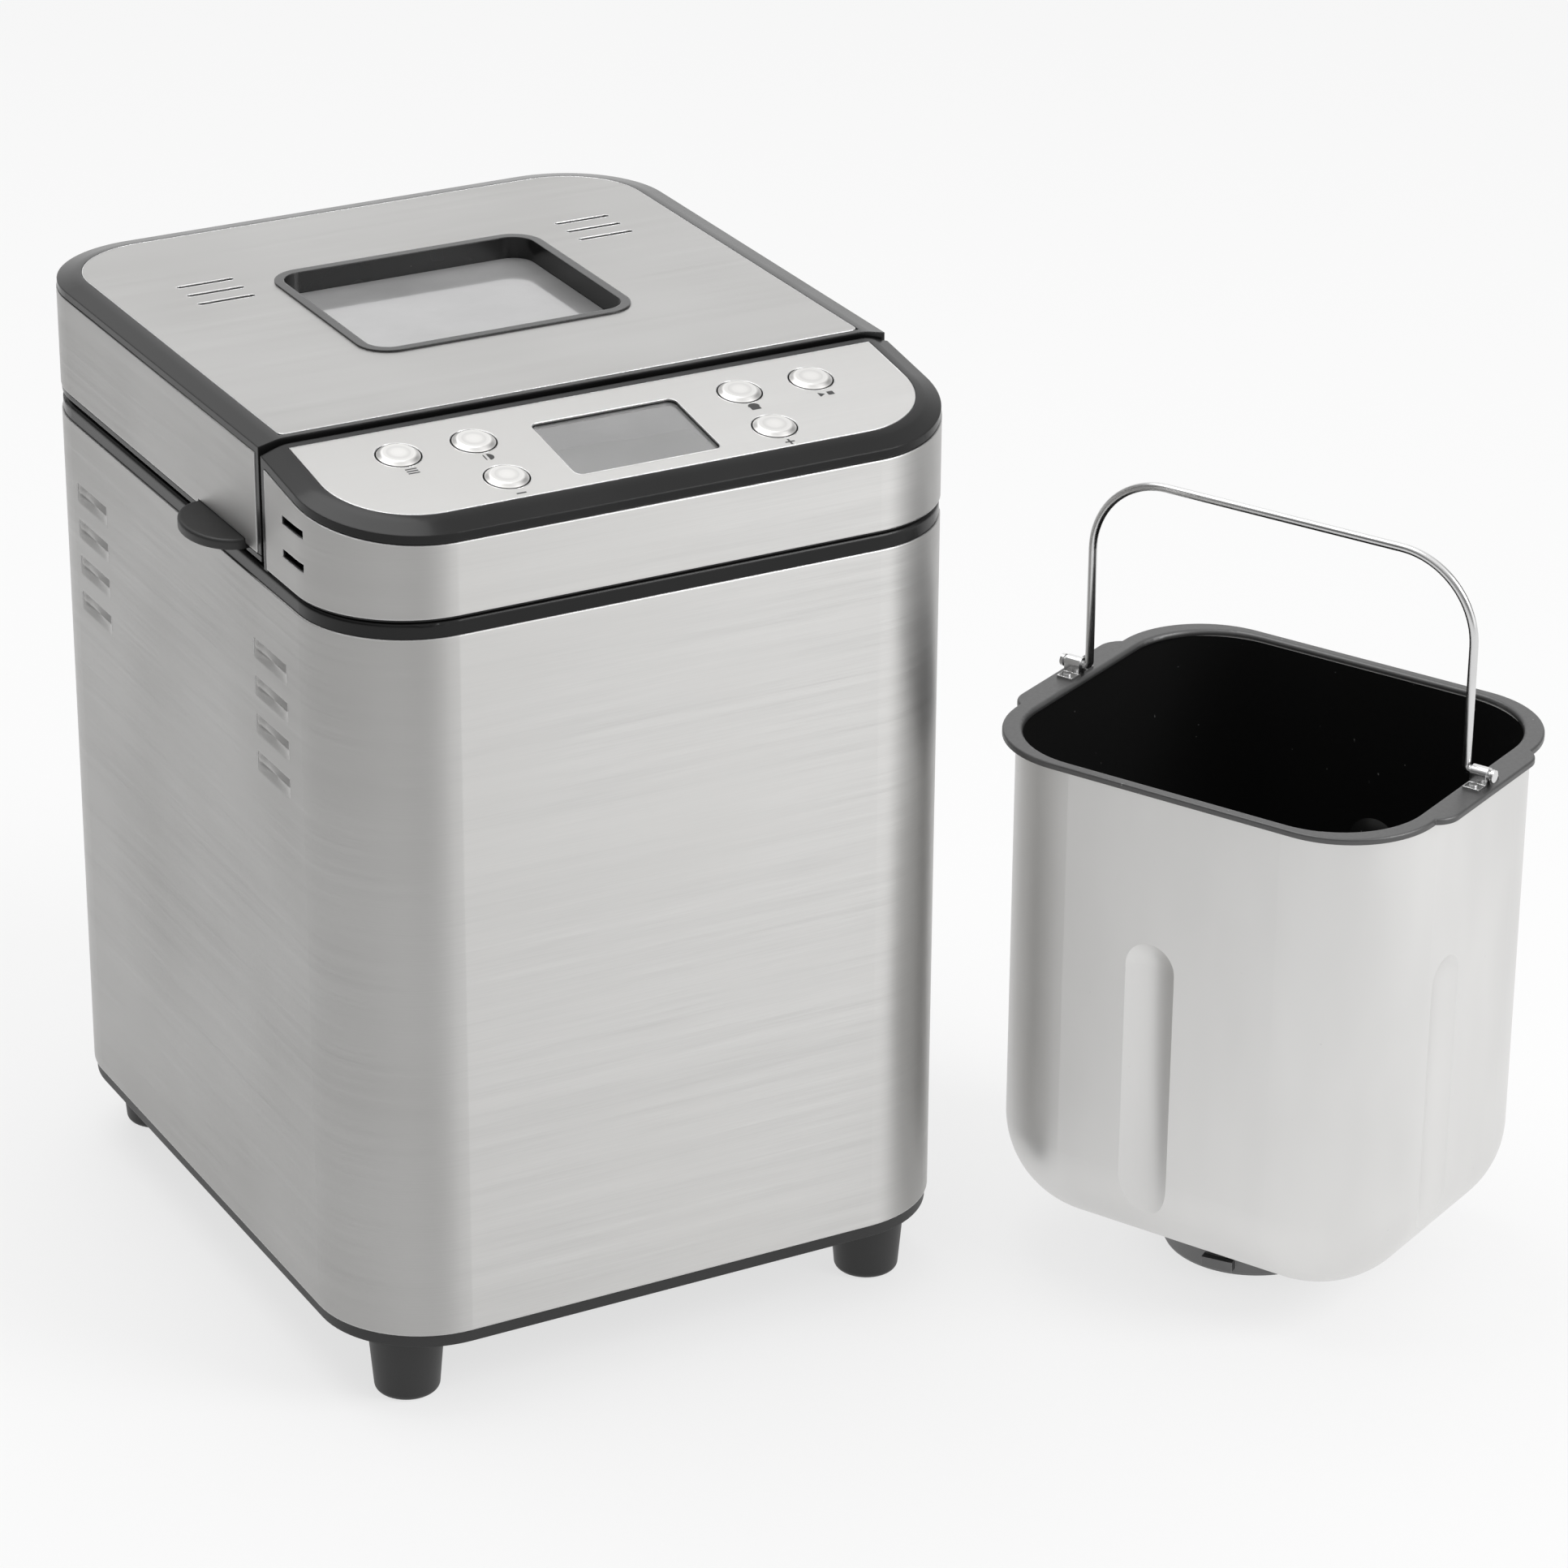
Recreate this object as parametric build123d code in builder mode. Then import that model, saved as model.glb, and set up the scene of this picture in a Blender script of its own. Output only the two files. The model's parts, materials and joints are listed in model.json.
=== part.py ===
from build123d import *
from math import atan, cos, degrees, radians, sin
import os

# Bread machine with its bread pan standing beside it. Millimetres, Z up.
# The machine and the pan are each modelled about their own centre line, on the same floor.

os.makedirs("parts", exist_ok=True)

# ---------------------------------------------------------------- driving dimensions
width, depth, corner_r = 240.0, 282.3, 40.4          # machine footprint
base_z, steel_z = 28.0, 33.0                         # underside of tray, lower edge of steel
steel_top_z, collar_top_z = 297.0, 302.8             # top of steel wrap, top of black collar
lid_bottom_z, lid_trim_z, lid_band_z = 305.0, 307.0, 307.4
rim_z, lid_top_z = 343.8, 348.2                        # foot of the lid's rolled rim, lid top
sheet = 0.8                                          # stainless sheet thickness
wall = 2.5                                           # moulded plastic wall
seam_y, seam_gap = -72.0, 2.0                        # joint between lid and control housing

panel_slope = 0.155                                  # control panel falls towards the front
panel_y, panel_z = -106.0, 341.5                     # middle of the panel's surface
panel_rim, band_drop = 9.5, 6.0                      # panel edge inset, steel band below panel

chamber_x, chamber_y, chamber_r = 190.0, 170.0, 45.0
chamber_mid_y, chamber_floor_z = 30.0, 80.0
plate_z, plate_t = 60.0, 1.5                         # chassis plate

hinge_y, hinge_z, hinge_r = 146.0, 305.5, 4.5
hinge_x, hinge_len = 70.0, 14.0

pan_yaw = -62.9                                      # direction of the pan's long side
rim_x, rim_y, rim_r = 170.0, 145.4, 36.0             # outline of the pan's rim
wing_x, wing_y, wing_r = 179.0, 74.0, 10.0           # its two wings, which carry the bail
pan_x, pan_y, pan_r = 166.0, 138.6, 40.0             # outline of the pan's body
pan_base_z, pan_rim_z, pan_t = 14.0, 207.0, 1.5
pan_from_machine = (231.2, -160.5)                   # pan centre from the machine's centre
bail_axis_z, bail_rise, bail_half, bail_wire = 211.0, 76.6, 77.5, 3.2

tab_reach = 14.0                                     # lid tab beyond the left side

# The origin is the middle of the pair's footprint, on the floor.
yaw = radians(pan_yaw)
pan_reach_x = (rim_x / 2 - rim_r) * abs(cos(yaw)) + (rim_y / 2 - rim_r) * abs(sin(yaw)) + rim_r
pan_reach_y = (rim_x / 2 - rim_r) * abs(sin(yaw)) + (rim_y / 2 - rim_r) * abs(cos(yaw)) + rim_r
left, right = -width / 2 - tab_reach, pan_from_machine[0] + pan_reach_x
front, back = pan_from_machine[1] - pan_reach_y, hinge_y + hinge_r
machine_x, machine_y = -(left + right) / 2, -(front + back) / 2
machine = Plane((machine_x, machine_y, 0))
pan = Plane((machine_x + pan_from_machine[0], machine_y + pan_from_machine[1], 0),
            x_dir=(cos(yaw), sin(yaw), 0), z_dir=(0, 0, 1))

tilt = atan(panel_slope)
panel_top = Plane((machine_x, machine_y + panel_y, panel_z), x_dir=(1, 0, 0),
                  z_dir=(0, -sin(tilt), cos(tilt)))


def panel(height):
    """Plane parallel to the control panel's surface, this far above it."""
    return panel_top.offset(height)


def save(part, name):
    part.label = name
    export_step(part, f"parts/{name}.step")


def box_outline(inset):
    """The machine's footprint, inset from the outside."""
    RectangleRounded(width - 2 * inset, depth - 2 * inset, corner_r - inset)


def lid_outline(inset, front_y):
    """Footprint behind front_y, inset from the outside."""
    box_outline(inset)
    with Locations((0, front_y + depth / 2)):
        Rectangle(width, depth, mode=Mode.INTERSECT)


def front_outline(inset, back_y):
    """Footprint in front of back_y, inset from the outside."""
    box_outline(inset)
    with Locations((0, back_y - depth / 2)):
        Rectangle(width, depth, mode=Mode.INTERSECT)


def chamber_outline(grow, mode=Mode.ADD):
    """The baking chamber's outline, grown outwards."""
    with Locations((0, chamber_mid_y)):
        RectangleRounded(chamber_x + 2 * grow, chamber_y + 2 * grow, chamber_r + grow, mode=mode)


def window_outline(grow, mode=Mode.ADD):
    """The lid window's outline, grown outwards."""
    with Locations(lid_window_mid):
        RectangleRounded(lid_window_x + 2 * grow, lid_window_y + 2 * grow, lid_window_r + grow, mode=mode)


def disc(radius, height, mode=Mode.ADD):
    """A cylinder that stands on its location."""
    Cylinder(radius, height, align=(Align.CENTER, Align.CENTER, Align.MIN), mode=mode)


def block(x, y, z, mode=Mode.ADD):
    """A box that stands on its location."""
    Box(x, y, z, align=(Align.CENTER, Align.CENTER, Align.MIN), mode=mode)


def top_face(solid):
    """The largest flat face that looks up."""
    flats = [f for f in solid.faces().filter_by(GeomType.PLANE) if f.normal_at().Z > 0.9]
    return ShapeList(flats).sort_by(SortBy.AREA)[-1]


def roll_rim(solid, on_rim, down, radius):
    """Slopes the top's rim down to the outside, then rounds the ridge this leaves."""
    top = top_face(solid)
    chamfer([e for e in top.edges() if on_rim(e.center())], roll_out, down, reference=top)
    fillet([e for e in top_face(solid).edges() if on_rim(e.center())], radius)


# ---------------------------------------------------------------- base tray
foot_inset = 27.0
foot_places = [("front_left", -1, -1), ("front_right", 1, -1), ("rear_left", -1, 1), ("rear_right", 1, 1)]
foot_spots = [(sx * (width / 2 - foot_inset), sy * (depth / 2 - foot_inset)) for _, sx, sy in foot_places]
post_places = [(-95, -105), (95, -105), (-95, 105), (95, 105)]
post_r, screw_r = 6.0, 2.2
tray_lip, tray_floor, tray_sleeve = 1.0, 3.0, 12.0     # edge inset, floor, height inside the wrap
sleeve_inset = sheet + 0.2
slot_pitch, slot_count, floor_slot = 12.0, 7, (60.0, 4.0)

with BuildPart(machine) as base_tray:
    with BuildSketch(machine.offset(base_z)):
        box_outline(tray_lip)
    extrude(amount=steel_z - base_z)
    with BuildSketch(machine.offset(steel_z)):
        box_outline(sleeve_inset)
    extrude(amount=tray_sleeve)
    with BuildSketch(machine.offset(base_z + tray_floor)):
        box_outline(sleeve_inset + wall)
    extrude(amount=tray_sleeve + steel_z, mode=Mode.SUBTRACT)
    with Locations(*[(x, y, base_z + tray_floor) for x, y in post_places]):
        disc(post_r, plate_z - base_z - tray_floor)
    with BuildSketch(machine.offset(base_z)):
        with GridLocations(slot_pitch, 0, slot_count, 1):
            SlotOverall(*floor_slot, rotation=90)
    extrude(amount=tray_floor, mode=Mode.SUBTRACT)
    with Locations(*[(x, y, base_z) for x, y in foot_spots]):
        Hole(screw_r, depth=tray_floor + 1)
save(base_tray.part, "base_tray")

# ---------------------------------------------------------------- feet
foot_top_r, foot_bottom_r, foot_edge_r = 14.0, 11.6, 2.4
well_r, well_z = 5.5, 6.0                             # screw well in the foot's underside
for (place, _, _), (foot_x, foot_y) in zip(foot_places, foot_spots):
    spot = Plane(machine.from_local_coords((foot_x, foot_y, 0)))
    with BuildPart(spot) as foot:
        with BuildSketch(Plane(spot.origin, x_dir=(1, 0, 0), z_dir=(0, -1, 0))):
            with BuildLine():
                Polyline((screw_r, well_z), (screw_r, base_z), (foot_top_r, base_z), (foot_bottom_r, 0),
                         (well_r, 0), (well_r, well_z), close=True)
            make_face()
        revolve(axis=Axis(spot.origin, (0, 0, 1)))
        outer_edge = foot.edges().filter_by(GeomType.CIRCLE).group_by(Axis.Z)[0].sort_by(SortBy.RADIUS)[-1]
        fillet(outer_edge, foot_edge_r)
    save(foot.part, f"foot_{place}")

# ---------------------------------------------------------------- steel wrap with louvres
louvre_len, louvre_high, louvre_deep, louvre_pitch = 29.0, 7.6, 4.6, 14.1
louvre_lip, louvre_fold = 0.8, 0.7                     # gap under the upper lip, fold below the opening
louvre_top_z, louvre_ys = 274.5, (83.0, -76.0)
louvre_zs = [louvre_top_z - louvre_high - n * louvre_pitch for n in range(4)]
inlet_x, inlet_z, inlet_r, inlet_proud = 72.0, 62.0, 9.0, 3.0        # cord gland on the back

with BuildPart(machine) as body_wrap:
    with BuildSketch(machine.offset(steel_z)):
        box_outline(0)
        RectangleRounded(width - 2 * sheet, depth - 2 * sheet, corner_r - sheet, mode=Mode.SUBTRACT)
    extrude(amount=steel_top_z - steel_z)
    with Locations(*[(0, y, z) for y in louvre_ys for z in louvre_zs]):
        block(width + 2, louvre_len, louvre_high, mode=Mode.SUBTRACT)
    with Locations((inlet_x, depth / 2, inlet_z)):
        with Locations(Rotation(90, 0, 0)):
            Cylinder(inlet_r, 4, mode=Mode.SUBTRACT)
    for side, y in [(side, y) for side in (-1, 1) for y in louvre_ys]:
        # local x points into the machine, local y points up
        start = machine.from_local_coords((side * width / 2, y - side * louvre_len / 2, 0))
        inward = Plane(start, x_dir=(-side, 0, 0), z_dir=(0, side, 0))
        for z in louvre_zs:
            flap_top = z + louvre_high - louvre_lip
            with BuildSketch(inward):
                Polygon((0, z), (louvre_deep, flap_top), (louvre_deep + sheet, flap_top - 0.4),
                        (sheet, z - louvre_fold), (0, z - louvre_fold), align=None)
            extrude(amount=louvre_len)
            for end in (0, louvre_len - sheet):
                with BuildSketch(inward.offset(end)):
                    Polygon((0, z), (louvre_deep, flap_top), (sheet, z + louvre_high), (0, z + louvre_high),
                            align=None)
                extrude(amount=sheet)
save(body_wrap.part, "body_wrap")

# ---------------------------------------------------------------- top collar
collar_proud, collar_skirt, collar_roll = 0.5, 12.0, 1.6
wiring_slot, wiring_y = (180.0, 50.0, 12.0), -104.0    # opening under the control panel
with BuildPart(machine) as top_collar:
    with BuildSketch(machine.offset(steel_top_z)):
        box_outline(collar_proud)
    extrude(amount=collar_top_z - steel_top_z)
    rim_edges = top_collar.faces().sort_by(Axis.Z)[-1].outer_wire().edges()
    fillet(rim_edges, collar_roll)
    with BuildSketch(machine.offset(steel_top_z - collar_skirt)):
        box_outline(sleeve_inset)
        offset(amount=-wall, mode=Mode.SUBTRACT)
    extrude(amount=collar_skirt)
    with BuildSketch(machine.offset(steel_top_z)):
        chamber_outline(sheet + 0.2)
        with Locations((0, wiring_y)):
            RectangleRounded(*wiring_slot)
    extrude(amount=collar_top_z, mode=Mode.SUBTRACT)
save(top_collar.part, "top_collar")

# ---------------------------------------------------------------- baking chamber
liner_lip, dog_hole_r = 8.0, 9.0
heater_x, heater_rise, heater_r = 18.0, 20.0, 3.2      # terminal legs, height over the floor, tube
with BuildPart(machine) as chamber_liner:
    with BuildSketch(machine.offset(chamber_floor_z - sheet)):
        chamber_outline(sheet)
    extrude(amount=collar_top_z - chamber_floor_z + sheet)
    with BuildSketch(machine.offset(collar_top_z)):
        chamber_outline(liner_lip)
    extrude(amount=sheet)
    with BuildSketch(machine.offset(chamber_floor_z)):
        chamber_outline(0)
    extrude(amount=collar_top_z, mode=Mode.SUBTRACT)
    with Locations((0, chamber_mid_y, chamber_floor_z)):
        Hole(dog_hole_r)
    with BuildSketch(machine.offset(chamber_floor_z + heater_rise - 5)):
        with Locations(*[(x, chamber_mid_y + chamber_y / 2) for x in (-heater_x, heater_x)]):
            Rectangle(10, 6)
    extrude(amount=10, mode=Mode.SUBTRACT)
save(chamber_liner.part, "chamber_liner")

heater_gap, heater_bend, heater_leg = 4.2, 7.0, 8.0
with BuildPart(machine) as heating_element:
    heater = machine.offset(chamber_floor_z + heater_rise)
    half_x, half_y = chamber_x / 2 - heater_gap, chamber_y / 2 - heater_gap
    loop_r = chamber_r - heater_gap
    leg_y = chamber_mid_y + chamber_y / 2 + heater_leg
    front_run, back_run = chamber_mid_y - half_y, chamber_mid_y + half_y
    with BuildLine(heater) as heater_line:
        FilletPolyline((-heater_x, leg_y), (-heater_x, back_run), (-half_x, back_run), (-half_x, front_run),
                       (half_x, front_run), (half_x, back_run), (heater_x, back_run), (heater_x, leg_y),
                       radius=[heater_bend, loop_r, loop_r, loop_r, loop_r, heater_bend])
    leg_end = Plane(heater.from_local_coords((-heater_x, leg_y, 0)), x_dir=(1, 0, 0), z_dir=(0, -1, 0))
    with BuildSketch(leg_end):
        Circle(heater_r)
    sweep(path=heater_line.line)
save(heating_element.part, "heating_element")

sensor_z, sensor_r, sensor_len, sensor_tip = 150.0, 3.0, 8.0, 2.4
with BuildPart(machine) as temperature_sensor:
    with Locations((0, chamber_mid_y + chamber_y / 2, sensor_z)):
        with Locations(Rotation(90, 0, 0)):
            disc(sensor_r, sensor_len)
            fillet(temperature_sensor.edges().sort_by(Axis.Y)[0], sensor_tip)
save(temperature_sensor.part, "temperature_sensor")

# ---------------------------------------------------------------- pan socket on the chamber floor
socket_inner_r, socket_r, socket_high = 39.5, 43.0, 12.0
socket_flange, socket_hole_r, socket_t = 6.0, 20.0, 2.0
drive_axis = Plane(machine.from_local_coords((0, chamber_mid_y, 0)))
with BuildPart(drive_axis) as pan_socket:
    with BuildSketch(drive_axis.offset(chamber_floor_z)):
        Circle(socket_r + socket_flange)
        Circle(socket_hole_r, mode=Mode.SUBTRACT)
    extrude(amount=socket_t)
    with BuildSketch(drive_axis.offset(chamber_floor_z + socket_t)):
        Circle(socket_r)
        Circle(socket_inner_r, mode=Mode.SUBTRACT)
    extrude(amount=socket_high - socket_t)
    with BuildSketch(drive_axis.offset(chamber_floor_z + 5)):
        with PolarLocations((socket_inner_r + socket_r) / 2, 2):
            Rectangle(12, 16)
    extrude(amount=socket_high, mode=Mode.SUBTRACT)
save(pan_socket.part, "pan_socket")

# ---------------------------------------------------------------- chassis plate, bearing and drive
shaft_r, shaft_fit, shaft_low = 4.0, 0.04, 40.0
chassis_x, chassis_y, chassis_r, chassis_mid_y = 210.0, 236.0, 20.0, -2.0
bush_out_r, bearing_r, bearing_foot_r, bearing_foot = 7.0, 13.0, 26.0, 3.0
motor_at, motor_hole_r = (52.0, -100.0), 7.0
bush_high = chamber_floor_z - sheet - plate_z - plate_t
with BuildPart(machine) as chassis_plate:
    with BuildSketch(machine.offset(plate_z)):
        with Locations((0, chassis_mid_y)):
            RectangleRounded(chassis_x, chassis_y, chassis_r)
        with Locations((0, chamber_mid_y)):
            Circle(bush_out_r + 3, mode=Mode.SUBTRACT)
        with Locations(motor_at):
            Circle(motor_hole_r, mode=Mode.SUBTRACT)
        with Locations(*post_places):
            Circle(screw_r, mode=Mode.SUBTRACT)
    extrude(amount=plate_t)
save(chassis_plate.part, "chassis_plate")

with BuildPart(drive_axis) as bearing_housing:
    with BuildSketch(drive_axis.offset(plate_z + plate_t)):
        Circle(bearing_foot_r)
    extrude(amount=bearing_foot)
    with BuildSketch(drive_axis.offset(plate_z + plate_t)):
        Circle(bearing_r)
    extrude(amount=bush_high)
    with Locations((0, 0, plate_z)):
        Hole(bush_out_r)
save(bearing_housing.part, "bearing_housing")

with BuildPart(drive_axis) as drive_bush:
    with BuildSketch(drive_axis.offset(plate_z + plate_t)):
        Circle(bush_out_r)
        Circle(shaft_r + shaft_fit, mode=Mode.SUBTRACT)
    extrude(amount=bush_high)
save(drive_bush.part, "drive_bush")

pulley_z, pulley_high, belt_wide = 44.0, 11.0, 8.0
big_pulley_r, small_pulley_r, pulley_flange, flange_thick = 42.0, 9.0, 2.5, 1.2
dog_z = chamber_floor_z + 4
with BuildPart(drive_axis) as drive_shaft:
    with BuildSketch(drive_axis.offset(shaft_low)):
        Circle(shaft_r)
    extrude(amount=dog_z - shaft_low)
save(drive_shaft.part, "drive_shaft")

with BuildPart(drive_axis) as drive_dog:
    with BuildSketch(drive_axis.offset(dog_z)):
        Circle(9)
    extrude(amount=2)
    with BuildSketch(drive_axis.offset(dog_z + 2)):
        with PolarLocations(6.5, 2):
            Rectangle(5, 4)
    extrude(amount=6)
save(drive_dog.part, "drive_dog")

with BuildPart(drive_axis) as drive_pulley:
    with BuildSketch(drive_axis.offset(pulley_z)):
        Circle(big_pulley_r)
        Circle(shaft_r, mode=Mode.SUBTRACT)
        with PolarLocations(24, 5):
            Circle(7.5, mode=Mode.SUBTRACT)
    extrude(amount=pulley_high)
    with BuildSketch(drive_axis.offset(pulley_z)):
        Circle(big_pulley_r + pulley_flange)
        Circle(big_pulley_r - 1, mode=Mode.SUBTRACT)
    extrude(amount=flange_thick)
save(drive_pulley.part, "drive_pulley")

# ---------------------------------------------------------------- motor and belt
motor_axis = Plane(machine.from_local_coords((motor_at[0], motor_at[1], 0)))
motor_r, motor_high, motor_edge_r, motor_shaft_r = 29.0, 64.0, 4.0, 3.0
bracket_side, bracket_r, bracket_t = 64.0, 8.0, 3.0
motor_z = plate_z + plate_t + bracket_t
with BuildPart(motor_axis) as motor_bracket:
    with BuildSketch(motor_axis.offset(plate_z + plate_t)):
        RectangleRounded(bracket_side, bracket_side, bracket_r)
        Circle(motor_hole_r + 1, mode=Mode.SUBTRACT)
    extrude(amount=bracket_t)
save(motor_bracket.part, "motor_bracket")

with BuildPart(motor_axis) as motor_case:
    with BuildSketch(motor_axis.offset(motor_z)):
        Circle(motor_r)
    extrude(amount=motor_high)
    fillet(motor_case.faces().sort_by(Axis.Z)[-1].edges(), motor_edge_r)
    with BuildSketch(motor_axis.offset(motor_z)):
        Circle(motor_shaft_r + shaft_fit)
    extrude(amount=motor_high - 10, mode=Mode.SUBTRACT)
save(motor_case.part, "motor_case")

with BuildPart(motor_axis) as motor_shaft:
    with BuildSketch(motor_axis.offset(shaft_low)):
        Circle(motor_shaft_r)
    extrude(amount=motor_z + motor_high - 12 - shaft_low)
save(motor_shaft.part, "motor_shaft")

with BuildPart(motor_axis) as motor_pulley:
    with BuildSketch(motor_axis.offset(pulley_z)):
        Circle(small_pulley_r)
        Circle(motor_shaft_r, mode=Mode.SUBTRACT)
    extrude(amount=pulley_high)
    with BuildSketch(motor_axis.offset(pulley_z)):
        Circle(small_pulley_r + pulley_flange)
        Circle(small_pulley_r - 1, mode=Mode.SUBTRACT)
    extrude(amount=flange_thick)
save(motor_pulley.part, "motor_pulley")

belt_gap, belt_t = 0.3, 1.8
belt_dx, belt_dy = motor_at[0], motor_at[1] - chamber_mid_y
belt_dist = (belt_dx ** 2 + belt_dy ** 2) ** 0.5
belt_plane = Plane(drive_axis.origin, x_dir=(belt_dx, belt_dy, 0), z_dir=(0, 0, 1))
with BuildPart(belt_plane) as drive_belt:
    with BuildSketch(belt_plane.offset(pulley_z + 2)):
        for grow, how in ((belt_gap + belt_t, Mode.ADD), (belt_gap, Mode.SUBTRACT)):
            r1, r2 = big_pulley_r + grow, small_pulley_r + grow
            lean = (r1 - r2) / belt_dist
            rise = (1 - lean ** 2) ** 0.5
            with BuildLine():
                top = Line((r1 * lean, r1 * rise), (belt_dist + r2 * lean, r2 * rise))
                ThreePointArc(top @ 1, (belt_dist + r2, 0), (belt_dist + r2 * lean, -r2 * rise))
                low = Line((belt_dist + r2 * lean, -r2 * rise), (r1 * lean, -r1 * rise))
                ThreePointArc(low @ 1, (-r1, 0), top @ 0)
            make_face(mode=how)
    extrude(amount=belt_wide)
save(drive_belt.part, "drive_belt")

screw_head_r, screw_head, screw_len = 4.5, 3.0, 31.0
nut_r, nut_high = 4.0, 2.4
rivet_r, rivet_high = 3.2, 2.2
with BuildPart(machine) as housing_screws:
    with Locations(*[(x, y, screw_head) for x, y in foot_spots]):
        disc(screw_head_r, screw_head)
        disc(screw_r - 0.05, screw_len)
    with Locations(*[(x, y, plate_z + plate_t) for x, y in post_places]):
        disc(nut_r, nut_high)
    motor_spots = [(motor_at[0] + dx, motor_at[1] + dy, motor_z) for dx in (-27, 27) for dy in (-27, 27)]
    bearing_spots = [(x, chamber_mid_y, plate_z + plate_t + bearing_foot) for x in (-20, 20)]
    with Locations(*motor_spots, *bearing_spots):
        disc(rivet_r, rivet_high)
save(housing_screws.part, "housing_screws")

# ---------------------------------------------------------------- electronics
# each block of the board: middle x, y, height over the chassis plate, then its size
board_blocks = {"card": ((-50, -118, 0), (84, 1.6, 62)),
                "foot": ((-50, -113, 0), (84, 10, 4)),
                "transformer": ((-70, -108.2, 12), (26, 18, 22)),
                "capacitor": ((-34, -109.2, 14), (18, 16, 16)),
                "relay": ((-34, -111.2, 40), (28, 12, 14))}
with BuildPart(machine) as power_board:
    for (x, y, z), size in board_blocks.values():
        with Locations((x, y, plate_z + plate_t + z)):
            block(*size)
save(power_board.part, "power_board")

with BuildPart(machine) as power_inlet:
    with Locations((inlet_x, depth / 2 + inlet_proud, inlet_z)):
        with Locations(Rotation(90, 0, 0)):
            disc(inlet_r - 0.1, 12)
            disc(inlet_r + 2, inlet_proud)
            Cylinder(3.6, 30, mode=Mode.SUBTRACT)
save(power_inlet.part, "power_inlet")

# ---------------------------------------------------------------- control housing
control_back = seam_y - seam_gap / 2
lcd_x, lcd_y, lcd_r, lcd_mid = 55.0, 37.0, 3.0, (-0.5, -106.8)
button_places = {"button_menu": (-78.3, -92.7), "button_start_stop": (78.3, -92.7),
                 "button_color": (-50.5, -92.7), "button_loaf": (50.5, -92.7),
                 "button_minus": (-50.5, -118.0), "button_plus": (50.5, -118.0)}
cap_r, cap_gap, cap_rise, press = 7.5, 0.7, 1.2, 1.2
deck_t = 2.5
band_bottom_z, rim_inset = 304.2, 0.3
slot_zs, slot_y, slot_len, slot_high = (315.5, 327.5), -98.0, 16.5, 3.0
roll_out, roll_down, roll_r = 8.0, 2.6, 16.0


def on_panel(spots):
    """Machine coordinates to coordinates on the sloping panel."""
    return [(x, (y - panel_y) / cos(tilt)) for x, y in spots]


def panel_outline(inset):
    """The panel's outline square on: its depth is stretched by the slope."""
    y0, y1 = ((y - panel_y) / cos(tilt) for y in (-depth / 2 + inset, control_back - 3))
    with Locations((0, y0 + depth / 2)):
        RectangleRounded(width - 2 * inset, depth, corner_r - inset)
    with Locations((0, y1 - depth / 2)):
        Rectangle(width, depth, mode=Mode.INTERSECT)


with BuildPart(machine) as control_band:
    with BuildSketch(machine.offset(band_bottom_z)):
        front_outline(0, control_back - 3)
    extrude(amount=60)
    split(bisect_by=panel(-band_drop), keep=Keep.BOTTOM)
    with BuildSketch(machine.offset(band_bottom_z)):
        front_outline(sheet, control_back)
    extrude(amount=60, mode=Mode.SUBTRACT)
    with Locations(*[(0, slot_y, z) for z in slot_zs]):
        Box(width + 2, slot_len, slot_high, mode=Mode.SUBTRACT)
save(control_band.part, "control_band")

with BuildPart(machine) as control_core:
    with BuildSketch(machine.offset(collar_top_z + 0.4)):
        front_outline(sheet, control_back - 3)
    extrude(amount=60)
    with BuildSketch(machine.offset(collar_top_z + 0.4)):
        with Locations((0, control_back - 1.45)):
            Rectangle(width - 2 * rim_inset, 2.9)
    extrude(amount=60)
    split(bisect_by=panel(-band_drop + 0.4), keep=Keep.BOTTOM)

with BuildPart(machine) as control_hollow:
    with BuildSketch(machine.offset(collar_top_z - 1)):
        front_outline(sheet + wall, control_back - wall)
    extrude(amount=60)
    split(bisect_by=panel(-sheet - deck_t), keep=Keep.BOTTOM)

with BuildPart() as control_housing:
    with BuildSketch(machine.offset(collar_top_z + 0.4)):
        front_outline(rim_inset, control_back)
    extrude(amount=60)
    split(bisect_by=panel(0), keep=Keep.BOTTOM)
    split(bisect_by=panel(-band_drop + 0.4), keep=Keep.TOP)
    roll_rim(control_housing, lambda at: at.Y < machine_y + control_back - 1, roll_down, roll_r)
    add(control_core.part)
    add(control_hollow.part, mode=Mode.SUBTRACT)
    with BuildSketch(panel(-sheet)):
        panel_outline(panel_rim - 0.3)
    extrude(amount=6, mode=Mode.SUBTRACT)
    with BuildSketch(panel(-6)):
        with Locations(*on_panel([lcd_mid])):
            RectangleRounded(lcd_x, lcd_y, lcd_r)
        with Locations(*on_panel(button_places.values())):
            Circle(cap_r + 0.5)
    extrude(amount=8, mode=Mode.SUBTRACT)
    with Locations(*[machine.from_local_coords((0, slot_y, z)) for z in slot_zs]):
        Box(width + 2, slot_len, slot_high, mode=Mode.SUBTRACT)
save(control_housing.part, "control_housing")

with BuildPart(machine) as control_plate:
    with BuildSketch(panel(-sheet)):
        panel_outline(panel_rim)
        with Locations(*on_panel([lcd_mid])):
            RectangleRounded(lcd_x, lcd_y, lcd_r, mode=Mode.SUBTRACT)
        with Locations(*on_panel(button_places.values())):
            Circle(cap_r + cap_gap, mode=Mode.SUBTRACT)
    extrude(amount=sheet)
save(control_plate.part, "control_plate")

window_t = 1.2
with BuildPart(machine) as lcd_window:
    with BuildSketch(panel(-sheet - deck_t + 0.7)):
        with Locations(*on_panel([lcd_mid])):
            RectangleRounded(lcd_x - 0.1, lcd_y - 0.1, lcd_r)
    extrude(amount=window_t)
save(lcd_window.part, "lcd_window")

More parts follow.
